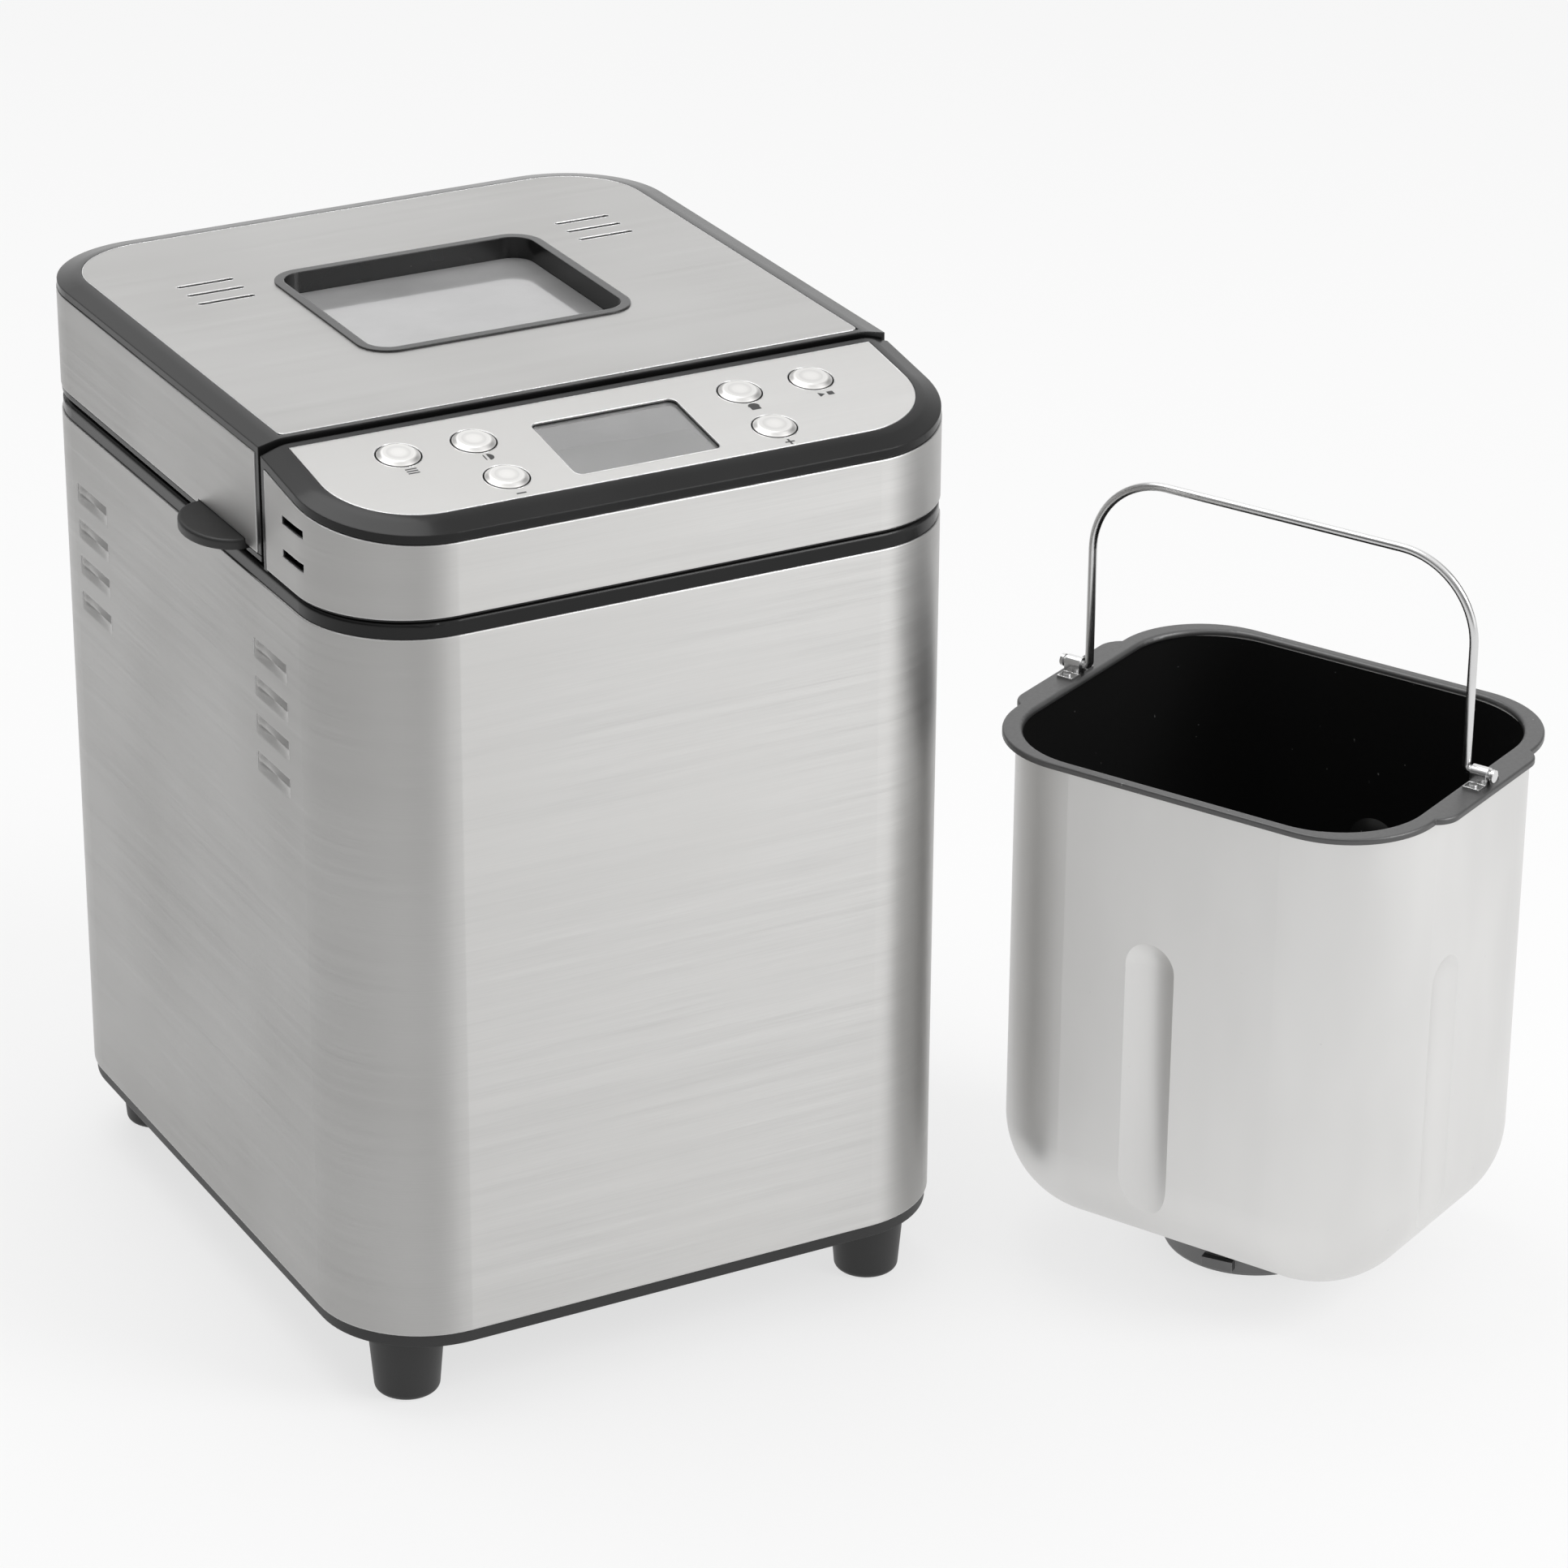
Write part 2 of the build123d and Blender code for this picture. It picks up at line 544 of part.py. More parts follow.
with BuildPart(machine) as lcd_module:
    with BuildSketch(panel(-sheet - deck_t - 5)):
        with Locations(*on_panel([lcd_mid])):
            Rectangle(lcd_x + 6, lcd_y + 3)
    extrude(amount=5)
    with BuildSketch(panel(-sheet - deck_t)):
        with Locations(*on_panel([lcd_mid])):
            RectangleRounded(lcd_x - 1, lcd_y - 1, lcd_r)
    extrude(amount=0.7)
save(lcd_module.part, "lcd_module")

# ---------------------------------------------------------------- buttons
flange_r, flange_t, stem_r, stem_len = 9.2, 1.2, 2.0, 4.2
flange_top = -sheet - deck_t - 0.3
stem_bottom = flange_top - flange_t - stem_len
switch_top = stem_bottom - press - 0.35
board_top = switch_top - 5
for name, spot in button_places.items():
    at = on_panel([spot])[0]
    with BuildPart(machine) as button:
        with BuildSketch(panel(flange_top)):
            with Locations(at):
                Circle(cap_r)
        extrude(amount=cap_rise - flange_top)
        dome_edge = button.edges().filter_by(GeomType.CIRCLE).sort_by(Axis.Z)[-1]
        chamfer(dome_edge, 1.1, 1.6)
        ridge = button.edges().filter_by(GeomType.CIRCLE).sort_by(Axis.Z)[-1]
        fillet(ridge, 1.5)
        with BuildSketch(panel(flange_top - flange_t)):
            with Locations(at):
                Circle(flange_r)
        extrude(amount=flange_t)
        with BuildSketch(panel(stem_bottom)):
            with Locations(at):
                Circle(stem_r)
        extrude(amount=stem_len)
    save(button.part, name)

with BuildPart(machine) as control_board:
    with BuildSketch(panel(board_top - 1.6)):
        with Locations(*on_panel([(0, -106)])):
            Rectangle(184, 44)
    extrude(amount=1.6)
    with BuildSketch(panel(board_top)):
        with Locations(*on_panel([(-66, -122), (66, -122), (-38, -87), (38, -87)])):
            Circle(2.5)
    extrude(amount=-sheet - deck_t - board_top)
    with BuildSketch(panel(board_top)):
        with Locations(*on_panel(button_places.values())):
            Rectangle(6, 6)
    extrude(amount=4)
    with BuildSketch(panel(board_top + 4)):
        with Locations(*on_panel(button_places.values())):
            Circle(1.7)
    extrude(amount=1)
save(control_board.part, "control_board")

# ---------------------------------------------------------------- lid
lid_front = seam_y + seam_gap / 2
lid_window_x, lid_window_y, lid_window_r, lid_window_mid = 103.0, 90.0, 11.0, (0.5, 32.0)
vent_ys, vent_xs, vent_len, vent_high = (61.5, 71.2, 80.9), (-73.8, 76.8), 22.0, 2.4
bezel_t, bezel_lip, bezel_deep, bezel_shelf = 2.2, 1.3, 12.0, 6.5
glass_t, glass_fit = 2.5, 0.15
tab_y, tab_half, tab_z, tab_t, tab_root = -38.0, 20.0, 305.2, 3.6, 3.4
lid_roll_down, lid_roll_r = 1.8, 20.0


def cut_tab_notch():
    """Room for the tab's root at the lid's lower left edge."""
    with Locations((-width / 2, tab_y, lid_bottom_z - 1)):
        Box(2 * tab_root, 2 * tab_half + 0.6, tab_z + tab_t - lid_bottom_z + 1.3,
            align=(Align.CENTER, Align.CENTER, Align.MIN), mode=Mode.SUBTRACT)


with BuildPart(machine) as lid_tab:
    with BuildSketch(machine.offset(tab_z)):
        with Locations((-width / 2, tab_y)):
            Ellipse(tab_reach, tab_half)
        with Locations((-width / 2 + tab_root - 0.3 + tab_reach, tab_y)):
            Rectangle(2 * tab_reach, 2 * tab_half + 1, mode=Mode.SUBTRACT)
    extrude(amount=tab_t)
    fillet(lid_tab.faces().sort_by(Axis.Z)[-1].edges().filter_by(GeomType.ELLIPSE), 1.2)
save(lid_tab.part, "lid_tab")

with BuildPart(machine) as lid_frame:
    with BuildSketch(machine.offset(rim_z)):
        lid_outline(rim_inset, lid_front)
    extrude(amount=lid_top_z - rim_z)
    roll_rim(lid_frame, lambda at: at.Y > machine_y + lid_front + 1, lid_roll_down, lid_roll_r)
    with BuildSketch(machine.offset(lid_band_z)):
        lid_outline(sheet, lid_front + 3)
        with Locations((0, lid_front + 1.45)):
            Rectangle(width - 2 * rim_inset, 2.9)
    extrude(amount=rim_z - lid_band_z)
    with BuildSketch(machine.offset(lid_band_z)):
        lid_outline(sheet + wall, lid_front + wall)
    extrude(amount=lid_top_z - 3.5 - lid_band_z, mode=Mode.SUBTRACT)
    with BuildSketch(machine.offset(lid_top_z - sheet)):
        lid_outline(panel_rim - 0.3, lid_front + 2.7)
    extrude(amount=5, mode=Mode.SUBTRACT)
    with BuildSketch(machine.offset(lid_top_z - 6)):
        window_outline(0)
        with Locations(*[(x, y) for x in vent_xs for y in vent_ys]):
            SlotOverall(vent_len, vent_high)
    extrude(amount=8, mode=Mode.SUBTRACT)
    cut_tab_notch()
save(lid_frame.part, "lid_frame")

with BuildPart(machine) as lid_top_plate:
    with BuildSketch(machine.offset(lid_top_z - sheet)):
        lid_outline(panel_rim, lid_front + 3)
        window_outline(-0.1, mode=Mode.SUBTRACT)
        with Locations(*[(x, y) for x in vent_xs for y in vent_ys]):
            SlotOverall(vent_len, vent_high, mode=Mode.SUBTRACT)
    extrude(amount=sheet)
    corner_edges = lid_top_plate.edges().filter_by(Axis.Z).group_by(Axis.Y)[0]
    fillet(corner_edges, 2.5)
save(lid_top_plate.part, "lid_top_plate")

with BuildPart(machine) as lid_band:
    with BuildSketch(machine.offset(lid_band_z)):
        lid_outline(0, lid_front + 3)
    extrude(amount=rim_z - 0.4 - lid_band_z)
    with BuildSketch(machine.offset(lid_band_z)):
        lid_outline(sheet, lid_front - 5)
    extrude(amount=rim_z, mode=Mode.SUBTRACT)
    cut_tab_notch()
save(lid_band.part, "lid_band")

pin_r, pin_fit = 1.5, 0.05
with BuildPart(machine) as lid_trim:
    with BuildSketch(machine.offset(lid_bottom_z)):
        lid_outline(rim_inset, lid_front)
    extrude(amount=lid_trim_z - lid_bottom_z)
    with BuildSketch(machine.offset(lid_bottom_z)):
        lid_outline(rim_inset + 3, lid_front + 3)
    extrude(amount=10, mode=Mode.SUBTRACT)
    with Locations(*[(x, hinge_y, hinge_z) for x in (-hinge_x, hinge_x)]):
        with Locations(Rotation(0, 90, 0)):
            Cylinder(hinge_r, hinge_len)
    with Locations(*[(x, hinge_y - 4, lid_bottom_z) for x in (-hinge_x, hinge_x)]):
        Box(hinge_len, 8, lid_trim_z - lid_bottom_z, align=(Align.CENTER, Align.CENTER, Align.MIN))
    with Locations(*[(x, hinge_y, hinge_z) for x in (-hinge_x, hinge_x)]):
        with Locations(Rotation(0, 90, 0)):
            Cylinder(pin_r + pin_fit, hinge_len + 2, mode=Mode.SUBTRACT)
    cut_tab_notch()
save(lid_trim.part, "lid_trim")

with BuildPart(machine) as window_bezel:
    with BuildSketch(machine.offset(lid_top_z - bezel_deep)):
        window_outline(-0.2)
    extrude(amount=bezel_deep)
    with BuildSketch(machine.offset(lid_top_z)):
        window_outline(bezel_lip)
    extrude(amount=0.6)
    with BuildSketch(machine.offset(lid_top_z - bezel_deep)):
        window_outline(-bezel_shelf)
    extrude(amount=20, mode=Mode.SUBTRACT)
    with BuildSketch(machine.offset(lid_top_z - bezel_deep + 2)):
        window_outline(-bezel_t)
    extrude(amount=20, mode=Mode.SUBTRACT)
save(window_bezel.part, "window_bezel")

with BuildPart(machine) as window_glass:
    with BuildSketch(machine.offset(lid_top_z - bezel_deep + 2)):
        window_outline(-bezel_t - glass_fit)
    extrude(amount=glass_t)
save(window_glass.part, "window_glass")

liner_inset, inner_glass_t = sheet + wall + 0.3, 3.0
with BuildPart(machine) as lid_liner:
    with BuildSketch(machine.offset(lid_band_z)):
        lid_outline(liner_inset, lid_front + wall + 0.3)
        window_outline(-4.5, mode=Mode.SUBTRACT)
    extrude(amount=sheet)
    with BuildSketch(machine.offset(lid_band_z + sheet)):
        window_outline(0.7 + sheet)
        window_outline(0.7, mode=Mode.SUBTRACT)
    extrude(amount=lid_top_z - 3.5 - lid_band_z - sheet)
save(lid_liner.part, "lid_liner")

with BuildPart(machine) as inner_glass:
    with BuildSketch(machine.offset(lid_band_z + sheet)):
        window_outline(0.5)
    extrude(amount=inner_glass_t)
save(inner_glass.part, "inner_glass")

gasket_in, gasket_out, gasket_clear = 1.5, 6.5, 0.4
with BuildPart(machine) as lid_gasket:
    with BuildSketch(machine.offset(collar_top_z + sheet + gasket_clear)):
        chamber_outline(gasket_out)
        chamber_outline(gasket_in, mode=Mode.SUBTRACT)
    extrude(amount=lid_band_z - collar_top_z - sheet - gasket_clear)
save(lid_gasket.part, "lid_gasket")

with BuildPart(machine) as lid_screws:
    with Locations(*[(x, y, lid_band_z + sheet) for x in (-108, 108) for y in (-50, 100)]):
        disc(3, 6)
save(lid_screws.part, "lid_screws")

# ---------------------------------------------------------------- hinge
ear_len, ear_gap = 5.0, 0.5
with BuildPart(machine) as hinge_brackets:
    reach = hinge_len / 2 + ear_gap + ear_len
    back_face = depth / 2 - 0.5
    with Locations(*[(x, back_face, steel_top_z + 0.2) for x in (-hinge_x, hinge_x)]):
        Box(2 * reach, 2.6, 3.4, align=(Align.CENTER, Align.MIN, Align.MIN))
    ears = [(sx * hinge_x + ex * (reach - ear_len / 2)) for sx in (-1, 1) for ex in (-1, 1)]
    with Locations(*[(x, hinge_y, hinge_z) for x in ears]):
        with Locations(Rotation(0, 90, 0)):
            Cylinder(hinge_r, ear_len)
    with Locations(*[(x, back_face, steel_top_z + 0.2) for x in ears]):
        Box(ear_len, hinge_y + 3 - back_face, 3.4, align=(Align.CENTER, Align.MIN, Align.MIN))
    with Locations(*[(x, hinge_y + 0.2, steel_top_z + 0.2) for x in ears]):
        Box(ear_len, 2.8, hinge_z - steel_top_z, align=(Align.CENTER, Align.MIN, Align.MIN))
    with Locations(*[(x, hinge_y, hinge_z) for x in ears]):
        with Locations(Rotation(0, 90, 0)):
            Cylinder(pin_r, ear_len + 1, mode=Mode.SUBTRACT)
save(hinge_brackets.part, "hinge_brackets")

with BuildPart(machine) as hinge_pins:
    with Locations(*[(x, hinge_y, hinge_z) for x in (-hinge_x, hinge_x)]):
        with Locations(Rotation(0, 90, 0)):
            Cylinder(pin_r, 2 * reach)
save(hinge_pins.part, "hinge_pins")

# ---------------------------------------------------------------- bread pan
bottom_r, rim_t, rim_edge_r, lip_r = 38.0, 2.2, 0.8, 1.5
rib_r, rib_out, rib_low_z, rib_top_z = 17.2, 14.0, 20.0, 136.0
rib_places = [(-7, -pan_y / 2 - rib_out), (7, pan_y / 2 + rib_out),
              (pan_x / 2 + rib_out, -17), (-pan_x / 2 - rib_out, 17)]
opening_x, opening_y, opening_r = 156.4, 136.4, 34.0
bush_r = 8.0


def pan_body(inset):
    """The pan's rounded tub, inset from its outside all over."""
    with BuildPart(pan) as tub:
        with BuildSketch(pan.offset(pan_base_z + inset)):
            RectangleRounded(pan_x - 2 * inset, pan_y - 2 * inset, pan_r - inset)
        extrude(amount=pan_rim_z - rim_t - pan_base_z - inset)
        fillet(tub.faces().sort_by(Axis.Z)[0].outer_wire().edges(), bottom_r - inset)
        for x, y in rib_places:
            with Locations((x, y, rib_low_z)):
                disc(rib_r + inset, rib_top_z - rib_low_z, mode=Mode.SUBTRACT)
            with Locations((x, y, rib_top_z)):
                Sphere(rib_r + inset, mode=Mode.SUBTRACT)
    return tub.part


with BuildPart() as pan_shell:
    add(pan_body(0))
    add(pan_body(pan_t), mode=Mode.SUBTRACT)
    with Locations(pan.from_local_coords((0, 0, pan_base_z + 5))):
        Hole(bush_r, depth=12)
save(pan_shell.part, "pan_shell")

with BuildPart(pan) as pan_rim:
    with BuildSketch(pan.offset(pan_rim_z - rim_t)):
        RectangleRounded(rim_x, rim_y, rim_r)
        RectangleRounded(wing_x, wing_y, wing_r)
        RectangleRounded(opening_x, opening_y, opening_r, mode=Mode.SUBTRACT)
    extrude(amount=rim_t)
    rim_top = pan_rim.faces().sort_by(Axis.Z)[-1]
    lip_edges, outer_edges = rim_top.inner_wires()[0].edges(), rim_top.outer_wire().edges()
    fillet(lip_edges, lip_r)
    fillet(outer_edges, rim_edge_r)
save(pan_rim.part, "pan_rim")

with BuildPart(pan) as pan_base_ring:
    with BuildSketch(Plane(pan.origin, x_dir=pan.x_dir, z_dir=(sin(yaw), -cos(yaw), 0))):
        with BuildLine():
            Polyline((29, 0), (32, 0), (32.5, 1), (33, 9), (37, pan_base_z), (30, pan_base_z), (29, 9),
                     close=True)
        make_face()
    revolve(axis=Axis(pan.origin, (0, 0, 1)))
    with BuildSketch(pan.offset(3)):
        with PolarLocations(33, 3, start_angle=40):
            Rectangle(6, 12)
        Circle(30, mode=Mode.SUBTRACT)
    extrude(amount=4)
    with BuildSketch(pan.offset(8)):
        with PolarLocations(20, 3, start_angle=0):
            Rectangle(24, 6)
        Circle(bush_r + 4)
        Circle(bush_r, mode=Mode.SUBTRACT)
    extrude(amount=pan_base_z - 8)
save(pan_base_ring.part, "pan_base_ring")

pan_shaft_top, bush_low, bush_top = 40.0, 7.5, 19.0
with BuildPart(pan) as pan_bush:
    with BuildSketch(pan.offset(bush_low)):
        Circle(bush_r)
        Circle(shaft_r + shaft_fit, mode=Mode.SUBTRACT)
    extrude(amount=bush_top - bush_low)
save(pan_bush.part, "pan_bush")

with BuildPart(pan) as pan_shaft:
    with BuildSketch(pan.offset(2.5)):
        Circle(shaft_r)
    extrude(amount=pan_shaft_top - 2.5)
    with BuildSketch(pan.offset(bush_top + 1)):
        with Locations((0, shaft_r - 0.5)):
            Rectangle(10, 2)
    extrude(amount=pan_shaft_top, mode=Mode.SUBTRACT)
save(pan_shaft.part, "pan_shaft")

with BuildPart(pan) as wing_coupling:
    with BuildSketch(pan.offset(2.5)):
        Circle(7)
        Rectangle(28, 5)
        Circle(shaft_r, mode=Mode.SUBTRACT)
    extrude(amount=4.5)
save(wing_coupling.part, "wing_coupling")

paddle_low, paddle_fit = bush_top + 1.2, 0.06
with BuildPart(pan) as kneading_paddle:
    with BuildSketch(pan.offset(paddle_low)):
        Circle(8.5)
    extrude(amount=pan_shaft_top + 4 - paddle_low)
    fillet(kneading_paddle.faces().sort_by(Axis.Z)[-1].edges(), 3)
    with BuildSketch(pan.offset(paddle_low)):
        with Locations((20, 0)):
            SlotOverall(48, 4)
    extrude(amount=9)
    with BuildSketch(Plane(pan.origin, x_dir=pan.x_dir, z_dir=(sin(yaw), -cos(yaw), 0))):
        with BuildLine():
            Polyline((4, paddle_low), (42, paddle_low), (42, paddle_low + 10), (28, paddle_low + 34),
                     (14, paddle_low + 30), (6, paddle_low + 16), close=True)
        make_face()
    extrude(amount=1.6, both=True)
    with BuildSketch(pan.offset(paddle_low)):
        Circle(shaft_r + paddle_fit)
        with Locations((0, shaft_r + 0.56)):
            Rectangle(10, 2, mode=Mode.SUBTRACT)
    extrude(amount=pan_shaft_top + 0.5 - paddle_low, mode=Mode.SUBTRACT)
save(kneading_paddle.part, "kneading_paddle")

# ---------------------------------------------------------------- bail and its saddles
wire_r, wire_fit = bail_wire / 2, 0.06
saddle_t, saddle_u, saddle_wide, foot_v = 1.0, 83.4, 6.4, 7.5
bail_end = 88.8
with BuildPart() as bail_saddles:
    for side in (-1, 1):
        middle = pan.from_local_coords((side * saddle_u, 0, 0))
        with BuildSketch(Plane(middle, x_dir=(-sin(yaw), cos(yaw), 0), z_dir=(cos(yaw), sin(yaw), 0))):
            arch = wire_r + wire_fit + saddle_t
            with Locations((0, bail_axis_z)):
                Circle(arch)
            with Locations((0, (pan_rim_z + bail_axis_z) / 2)):
                Rectangle(2 * arch, bail_axis_z - pan_rim_z)
            with Locations((0, pan_rim_z + saddle_t / 2)):
                Rectangle(2 * foot_v, saddle_t)
            with Locations((0, bail_axis_z)):
                Circle(wire_r + wire_fit, mode=Mode.SUBTRACT)
            with Locations((0, (pan_rim_z + bail_axis_z) / 2)):
                Rectangle(2 * (wire_r - 0.4), bail_axis_z - pan_rim_z, mode=Mode.SUBTRACT)
        extrude(amount=saddle_wide / 2, both=True)
save(bail_saddles.part, "bail_saddles")

with BuildPart(pan) as saddle_rivets:
    with Locations(*[(su * saddle_u, sv * 5.4, pan_rim_z + saddle_t) for su in (-1, 1) for sv in (-1, 1)]):
        Cylinder(1.5, 0.7, align=(Align.CENTER, Align.CENTER, Align.MIN))
save(saddle_rivets.part, "saddle_rivets")

with BuildPart(pan) as bail:
    upright = Plane(pan.from_local_coords((0, 0, bail_axis_z)), x_dir=(cos(yaw), sin(yaw), 0),
                    z_dir=(sin(yaw), -cos(yaw), 0))
    with BuildLine(upright) as bail_line:
        FilletPolyline((-bail_end, 0), (-bail_half, 0), (-bail_half, bail_rise), (bail_half, bail_rise),
                       (bail_half, 0), (bail_end, 0), radius=[2.2, 30, 30, 2.2])
    with BuildSketch(Plane(bail_line.line @ 0, z_dir=bail_line.line % 0)):
        Circle(wire_r)
    sweep(path=bail_line.line)
    for side in (-1, 1):
        end = pan.from_local_coords((side * (bail_end - 0.5), 0, bail_axis_z))
        with BuildSketch(Plane(end, x_dir=(0, 0, 1), z_dir=(cos(yaw), sin(yaw), 0))):
            Circle(wire_r + 0.7)
        extrude(amount=0.6, both=True)
save(bail.part, "bail")
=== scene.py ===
"""A bread machine with its bread pan beside it: finishes, pressed louvres, cut edges and printed symbols,
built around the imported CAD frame. Metres, Z up."""
import json
from math import cos, pi, radians, sin

import bmesh
import bpy
from mathutils import Matrix, Vector


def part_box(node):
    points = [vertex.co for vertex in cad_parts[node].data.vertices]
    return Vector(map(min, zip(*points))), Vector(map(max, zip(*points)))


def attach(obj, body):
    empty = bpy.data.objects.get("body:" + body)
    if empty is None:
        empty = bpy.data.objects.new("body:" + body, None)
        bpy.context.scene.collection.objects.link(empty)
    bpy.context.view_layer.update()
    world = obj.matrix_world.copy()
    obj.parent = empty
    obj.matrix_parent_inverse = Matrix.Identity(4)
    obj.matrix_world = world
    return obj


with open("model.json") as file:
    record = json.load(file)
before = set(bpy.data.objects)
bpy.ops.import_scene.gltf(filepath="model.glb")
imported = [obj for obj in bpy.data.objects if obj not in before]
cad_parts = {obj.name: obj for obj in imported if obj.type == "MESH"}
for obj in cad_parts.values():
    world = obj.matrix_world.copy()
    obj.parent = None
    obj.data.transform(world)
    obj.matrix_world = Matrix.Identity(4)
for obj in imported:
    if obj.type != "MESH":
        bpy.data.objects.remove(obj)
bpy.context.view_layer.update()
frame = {"nodes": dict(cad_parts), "record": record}
MM = 0.001


# ================================================================ node helpers
class Finish:
    """A material whose nodes are added step by step round one Principled shader."""

    def __init__(self, name):
        self.material = bpy.data.materials.new(name)
        self.material.use_nodes = True
        self.tree = self.material.node_tree
        self.shader = self.tree.nodes["Principled BSDF"]

    def node(self, kind, inputs=None, **settings):
        made = self.tree.nodes.new("ShaderNode" + kind)
        for key, value in settings.items():
            setattr(made, key, value)
        for key, value in (inputs or {}).items():
            self.feed(made.inputs[key], value)
        return made

    def feed(self, socket, value):
        if isinstance(value, bpy.types.NodeSocket):
            self.tree.links.new(value, socket)
        else:
            socket.default_value = value

    def set(self, **values):
        """Principled sockets by name, with _ for a space. A number goes straight onto the socket."""
        for key, value in values.items():
            self.feed(self.shader.inputs[key.replace("_", " ")], value)
        return self

    def where(self):
        return self.node("TexCoord").outputs["Object"]

    def noise(self, stretch, detail=2.0, roughness=0.5):
        """Noise with this many waves per metre along x, y and z."""
        spread = self.node("Mapping", {"Vector": self.where(), "Scale": stretch})
        return self.node("TexNoise", {"Vector": spread.outputs[0], "Scale": 1.0, "Detail": detail,
                                      "Roughness": roughness}).outputs[0]

    def span(self, value, low, high, out_low, out_high):
        """value's stretch from low to high, mapped to out_low..out_high and held at the ends."""
        return self.node("MapRange", {"Value": value, "From Min": low, "From Max": high,
                                      "To Min": out_low, "To Max": out_high}).outputs[0]

    def math(self, operation, a, b=0.0):
        return self.node("Math", {0: a, 1: b}, operation=operation).outputs[0]

    def tone(self, value, dark, light, low=0.0, high=1.0):
        """A colour that runs from dark to light as value runs from low to high."""
        ramp = self.node("ValToRGB", {"Fac": value})
        for stop, (place, colour) in zip(ramp.color_ramp.elements, ((low, dark), (high, light))):
            stop.position = place
            stop.color = (*colour, 1.0)
        return ramp.outputs[0]

    def mix(self, share, a, b):
        made = self.node("Mix", data_type="RGBA")
        self.feed(made.inputs["Factor"], share)
        self.feed(made.inputs[6], a if isinstance(a, bpy.types.NodeSocket) else (*a, 1.0))
        self.feed(made.inputs[7], b if isinstance(b, bpy.types.NodeSocket) else (*b, 1.0))
        return made.outputs[2]

    def bump(self, height, depth, strength=1.0, over=None):
        inputs = {"Height": height, "Distance": depth, "Strength": strength}
        if over is not None:
            inputs["Normal"] = over
        return self.node("Bump", inputs).outputs[0]

    def rounded(self, radius):
        """Normals of edges eased over this radius."""
        return self.node("Bevel", {"Radius": radius}, samples=4).outputs[0]

    def edge_highlight_and_wear_mask(self, eased, low=0.9, high=0.995):
        """1 on edges and 0 away from them, from the angle between eased and true normals: the mask that
        paints a highlight along edges and, in some finishes, lowers their roughness as wear.
        """
        flat = self.node("NewGeometry").outputs["Normal"]
        angle = self.node("VectorMath", {0: eased, 1: flat}, operation="DOT_PRODUCT").outputs["Value"]
        return self.span(angle, low, high, 1.0, 0.0)


def grey(value, warm=0.0):
    """A grey of this linear value, a little warmer where warm is over 0."""
    return (value * (1 + warm), value, value * (1 - 2 * warm))


# ================================================================ materials
def brushed(name, light, along, turn_axis, rough=0.3, clouds=0.10):
    """Brushed stainless sheet. along gives the grain's waves per metre on each axis: few along the grain."""
    f = Finish(name)
    fine = f.noise(along, 3.0, 0.65)
    broad = f.noise(tuple(a / 7 for a in along), 2.0)
    cloud = f.noise((9.0, 9.0, 9.0), 2.0)
    grain = f.math("ADD", f.math("MULTIPLY", fine, 0.65), f.math("MULTIPLY", broad, 0.35))
    shade = f.tone(grain, grey(light * (1 - clouds), 0.008), grey(light, 0.008), 0.32, 0.68)
    smudged = f.mix(f.span(cloud, 0.45, 0.7, 0.0, 0.35), shade, grey(light * (1 - 0.8 * clouds), 0.012))
    eased = f.rounded(0.8 * MM)
    edge_highlight_and_wear = f.edge_highlight_and_wear_mask(eased)
    roughness = f.math("ADD", f.span(grain, 0.3, 0.7, rough - 0.05, rough + 0.07),
                       f.span(cloud, 0.4, 0.7, 0.0, 0.05))
    # Edges get a painted highlight, a lighter grey, and a slightly lower roughness as worn by handling.
    f.set(Base_Color=f.mix(edge_highlight_and_wear, smudged, grey(min(1.0, light * 1.25))), Metallic=1.0,
          Roughness=f.math("SUBTRACT", roughness, f.math("MULTIPLY", edge_highlight_and_wear, 0.08)),
          Normal=f.bump(grain, 0.012 * MM, 0.6, eased), Anisotropic=0.85, Anisotropic_Rotation=0.25)
    f.set(Tangent=f.node("Tangent", direction_type="RADIAL", axis=turn_axis).outputs[0])
    return f.material


def plastic(name, colour, rough, grain_size, grain_depth, edge, coat=0.0, shine=0.5):
    """Moulded plastic: spark-eroded grain, slight sheen variation, edges polished by handling and given a
    painted highlight of edge times the colour.
    """
    f = Finish(name)
    per_metre = 1.0 / grain_size
    grain = f.noise((per_metre,) * 3, 2.0)
    patch = f.noise((22.0, 22.0, 22.0), 3.0)
    eased = f.rounded(0.7 * MM)
    edge_highlight_and_wear = f.edge_highlight_and_wear_mask(eased, 0.88)
    shade = f.tone(patch, grey(colour * 0.85), grey(colour * 1.15), 0.35, 0.65)
    f.set(Base_Color=f.mix(edge_highlight_and_wear, shade, grey(colour * edge)),
          Roughness=f.math("SUBTRACT", f.span(patch, 0.3, 0.7, rough - 0.04, rough + 0.05),
                           f.math("MULTIPLY", edge_highlight_and_wear, 0.1)),
          Normal=f.bump(grain, grain_depth, 0.7, eased), Specular_IOR_Level=shine,
          Coat_Weight=coat, Coat_Roughness=0.08)
    return f.material


